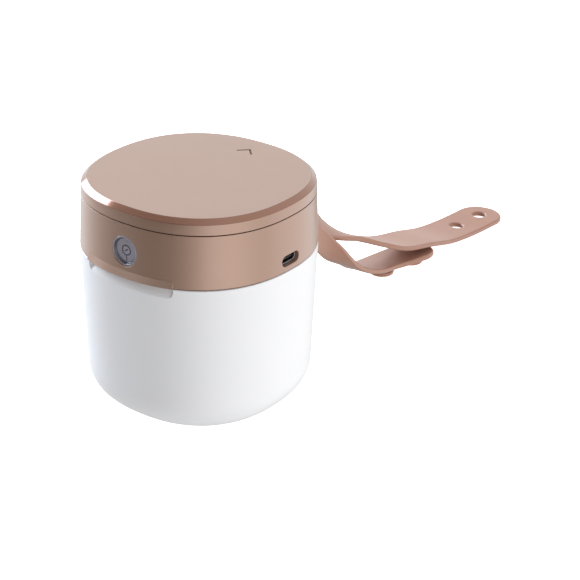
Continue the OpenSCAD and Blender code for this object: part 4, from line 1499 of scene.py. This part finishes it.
@dataclass
class Studio:
    """Camera at the photograph's place, white floor and a tent of soft light round the case."""

    camera_at: Spot = (0.371647, -0.451963, 0.328031)
    right: Spot = (0.80185, 0.59722, 0.01898)
    up: Spot = (-0.27726, 0.34374, 0.8972)
    focal_px: float = 1748.1
    image_px: float = 580.0
    sensor_mm: float = 36.0
    clip_m: Flat = (0.01, 50.0)
    floor_half_mm: float = 4000.0
    floor_low_mm: float = 0.1
    floor_glow: float = 1.1
    tent: float = 1.0
    glows: tuple[Glow, ...] = (
        Glow(-106, 16, 18, 86, -1.0),
        Glow(176, 24, 22, 23.5, 9.0, "e6f0ff"),
        Glow(-24, -10, 10, 50, 0.52),
        Glow(62, -14, 10, 42, 0.22),
        Glow(118, -34, 12, 42, -0.5),
        Glow(130, 22, 8, 34, -0.08),
        Glow(-150, 0, 4, 15, 1.0),
        Glow(-129, 6, 4, 15, 0.8),
        Glow(-112, 9, 4, 15, 0.75),
        Glow(-92, 13, 4, 14, 0.6),
        Glow(0, -90, 15, 60, -0.45),
    )

    def camera(self) -> None:
        """Place the camera that sees what the photograph sees."""
        data = bpy.data.cameras.new("studio_camera")
        data.sensor_width = self.sensor_mm
        data.lens = self.focal_px * self.sensor_mm / self.image_px
        data.clip_start, data.clip_end = self.clip_m
        camera = bpy.data.objects.new("studio_camera", data)
        right = Vector(self.right).normalized()
        up = Vector(self.up)
        up = (up - right * up.dot(right)).normalized()
        back = right.cross(up)
        turn = Matrix((right, up, back)).transposed().to_4x4()
        camera.matrix_world = Matrix.Translation(Vector(self.camera_at)) @ turn
        bpy.context.scene.collection.objects.link(camera)
        bpy.context.scene.camera = camera

    def floor(self) -> None:
        """Lay the white floor, which glows evenly, takes no shadow and lets the tent's light through."""
        half, z = self.floor_half_mm, -self.floor_low_mm
        corners = [(-half, -half, z), (half, -half, z), (half, half, z), (-half, half, z)]
        finish = Finish("floor_paper", "ffffff", "fdfdfd", 0.9, grain_depth_mm=0.0)
        floor = Skin(corners, [(0, 1, 2, 3)]).piece("floor", finish)
        shader = next(n for n in finish.material().node_tree.nodes if n.type == "BSDF_PRINCIPLED")
        shader.inputs["Emission Color"].default_value = (1.0, 1.0, 1.0, 1.0)
        shader.inputs["Emission Strength"].default_value = self.floor_glow
        for kind in ("diffuse", "glossy", "transmission", "shadow"):
            setattr(floor, "visible_" + kind, False)

    def world(self) -> None:
        """Hang the tent: an even white glow with brighter and darker patches."""
        world = bpy.data.worlds.new("studio_world")
        world.use_nodes = True
        tree = world.node_tree
        tree.nodes.clear()
        way = add_node(tree, "ShaderNodeTexCoord").outputs["Generated"]
        total = add_node(tree, "ShaderNodeVectorMath", {0: (self.tent,) * 3}).outputs["Vector"]
        for glow in self.glows:
            dot = add_node(
                tree, "ShaderNodeVectorMath", {"operation": "DOT_PRODUCT", 1: glow.way()}, {0: way},
            )
            angle = add_node(tree, "ShaderNodeMath", {"operation": "ARCCOSINE"}, {0: dot.outputs["Value"]})
            amount = add_node(
                tree, "ShaderNodeMapRange",
                {
                    "interpolation_type": "SMOOTHSTEP", "From Min": math.radians(glow.inner_deg),
                    "From Max": math.radians(glow.outer_deg), "To Min": glow.strength, "To Max": 0.0,
                },
                {"Value": angle.outputs["Value"]},
            )
            tinted = add_node(
                tree, "ShaderNodeVectorMath", {"operation": "SCALE", 0: linear(glow.colour)[:3]},
                {"Scale": amount.outputs["Result"]},
            )
            total = add_node(
                tree, "ShaderNodeVectorMath", {"operation": "ADD"}, {0: total, 1: tinted.outputs["Vector"]},
            ).outputs["Vector"]
        glow_shader = add_node(tree, "ShaderNodeBackground", {"Strength": 1.0}, {"Color": total})
        add_node(tree, "ShaderNodeOutputWorld", None, {"Surface": glow_shader.outputs["Background"]})
        bpy.context.scene.world = world

    def build(self) -> None:
        """Set up the camera, the floor and the light."""
        bpy.context.scene.view_settings.view_transform = "Standard"
        self.camera()
        self.floor()
        self.world()


def main() -> None:
    """Build the scene in order."""
    logging.basicConfig(level=logging.INFO, format="%(message)s")
    Studio().build()
    dress_cad_nodes()
    case = Case()
    Bowl(case).build()
    Head(case).build()
    PushButton().build()
    ChargingSocket().build()
    Strap().build()
    ScrewSet().build()


if __name__ == "__main__":
    main()
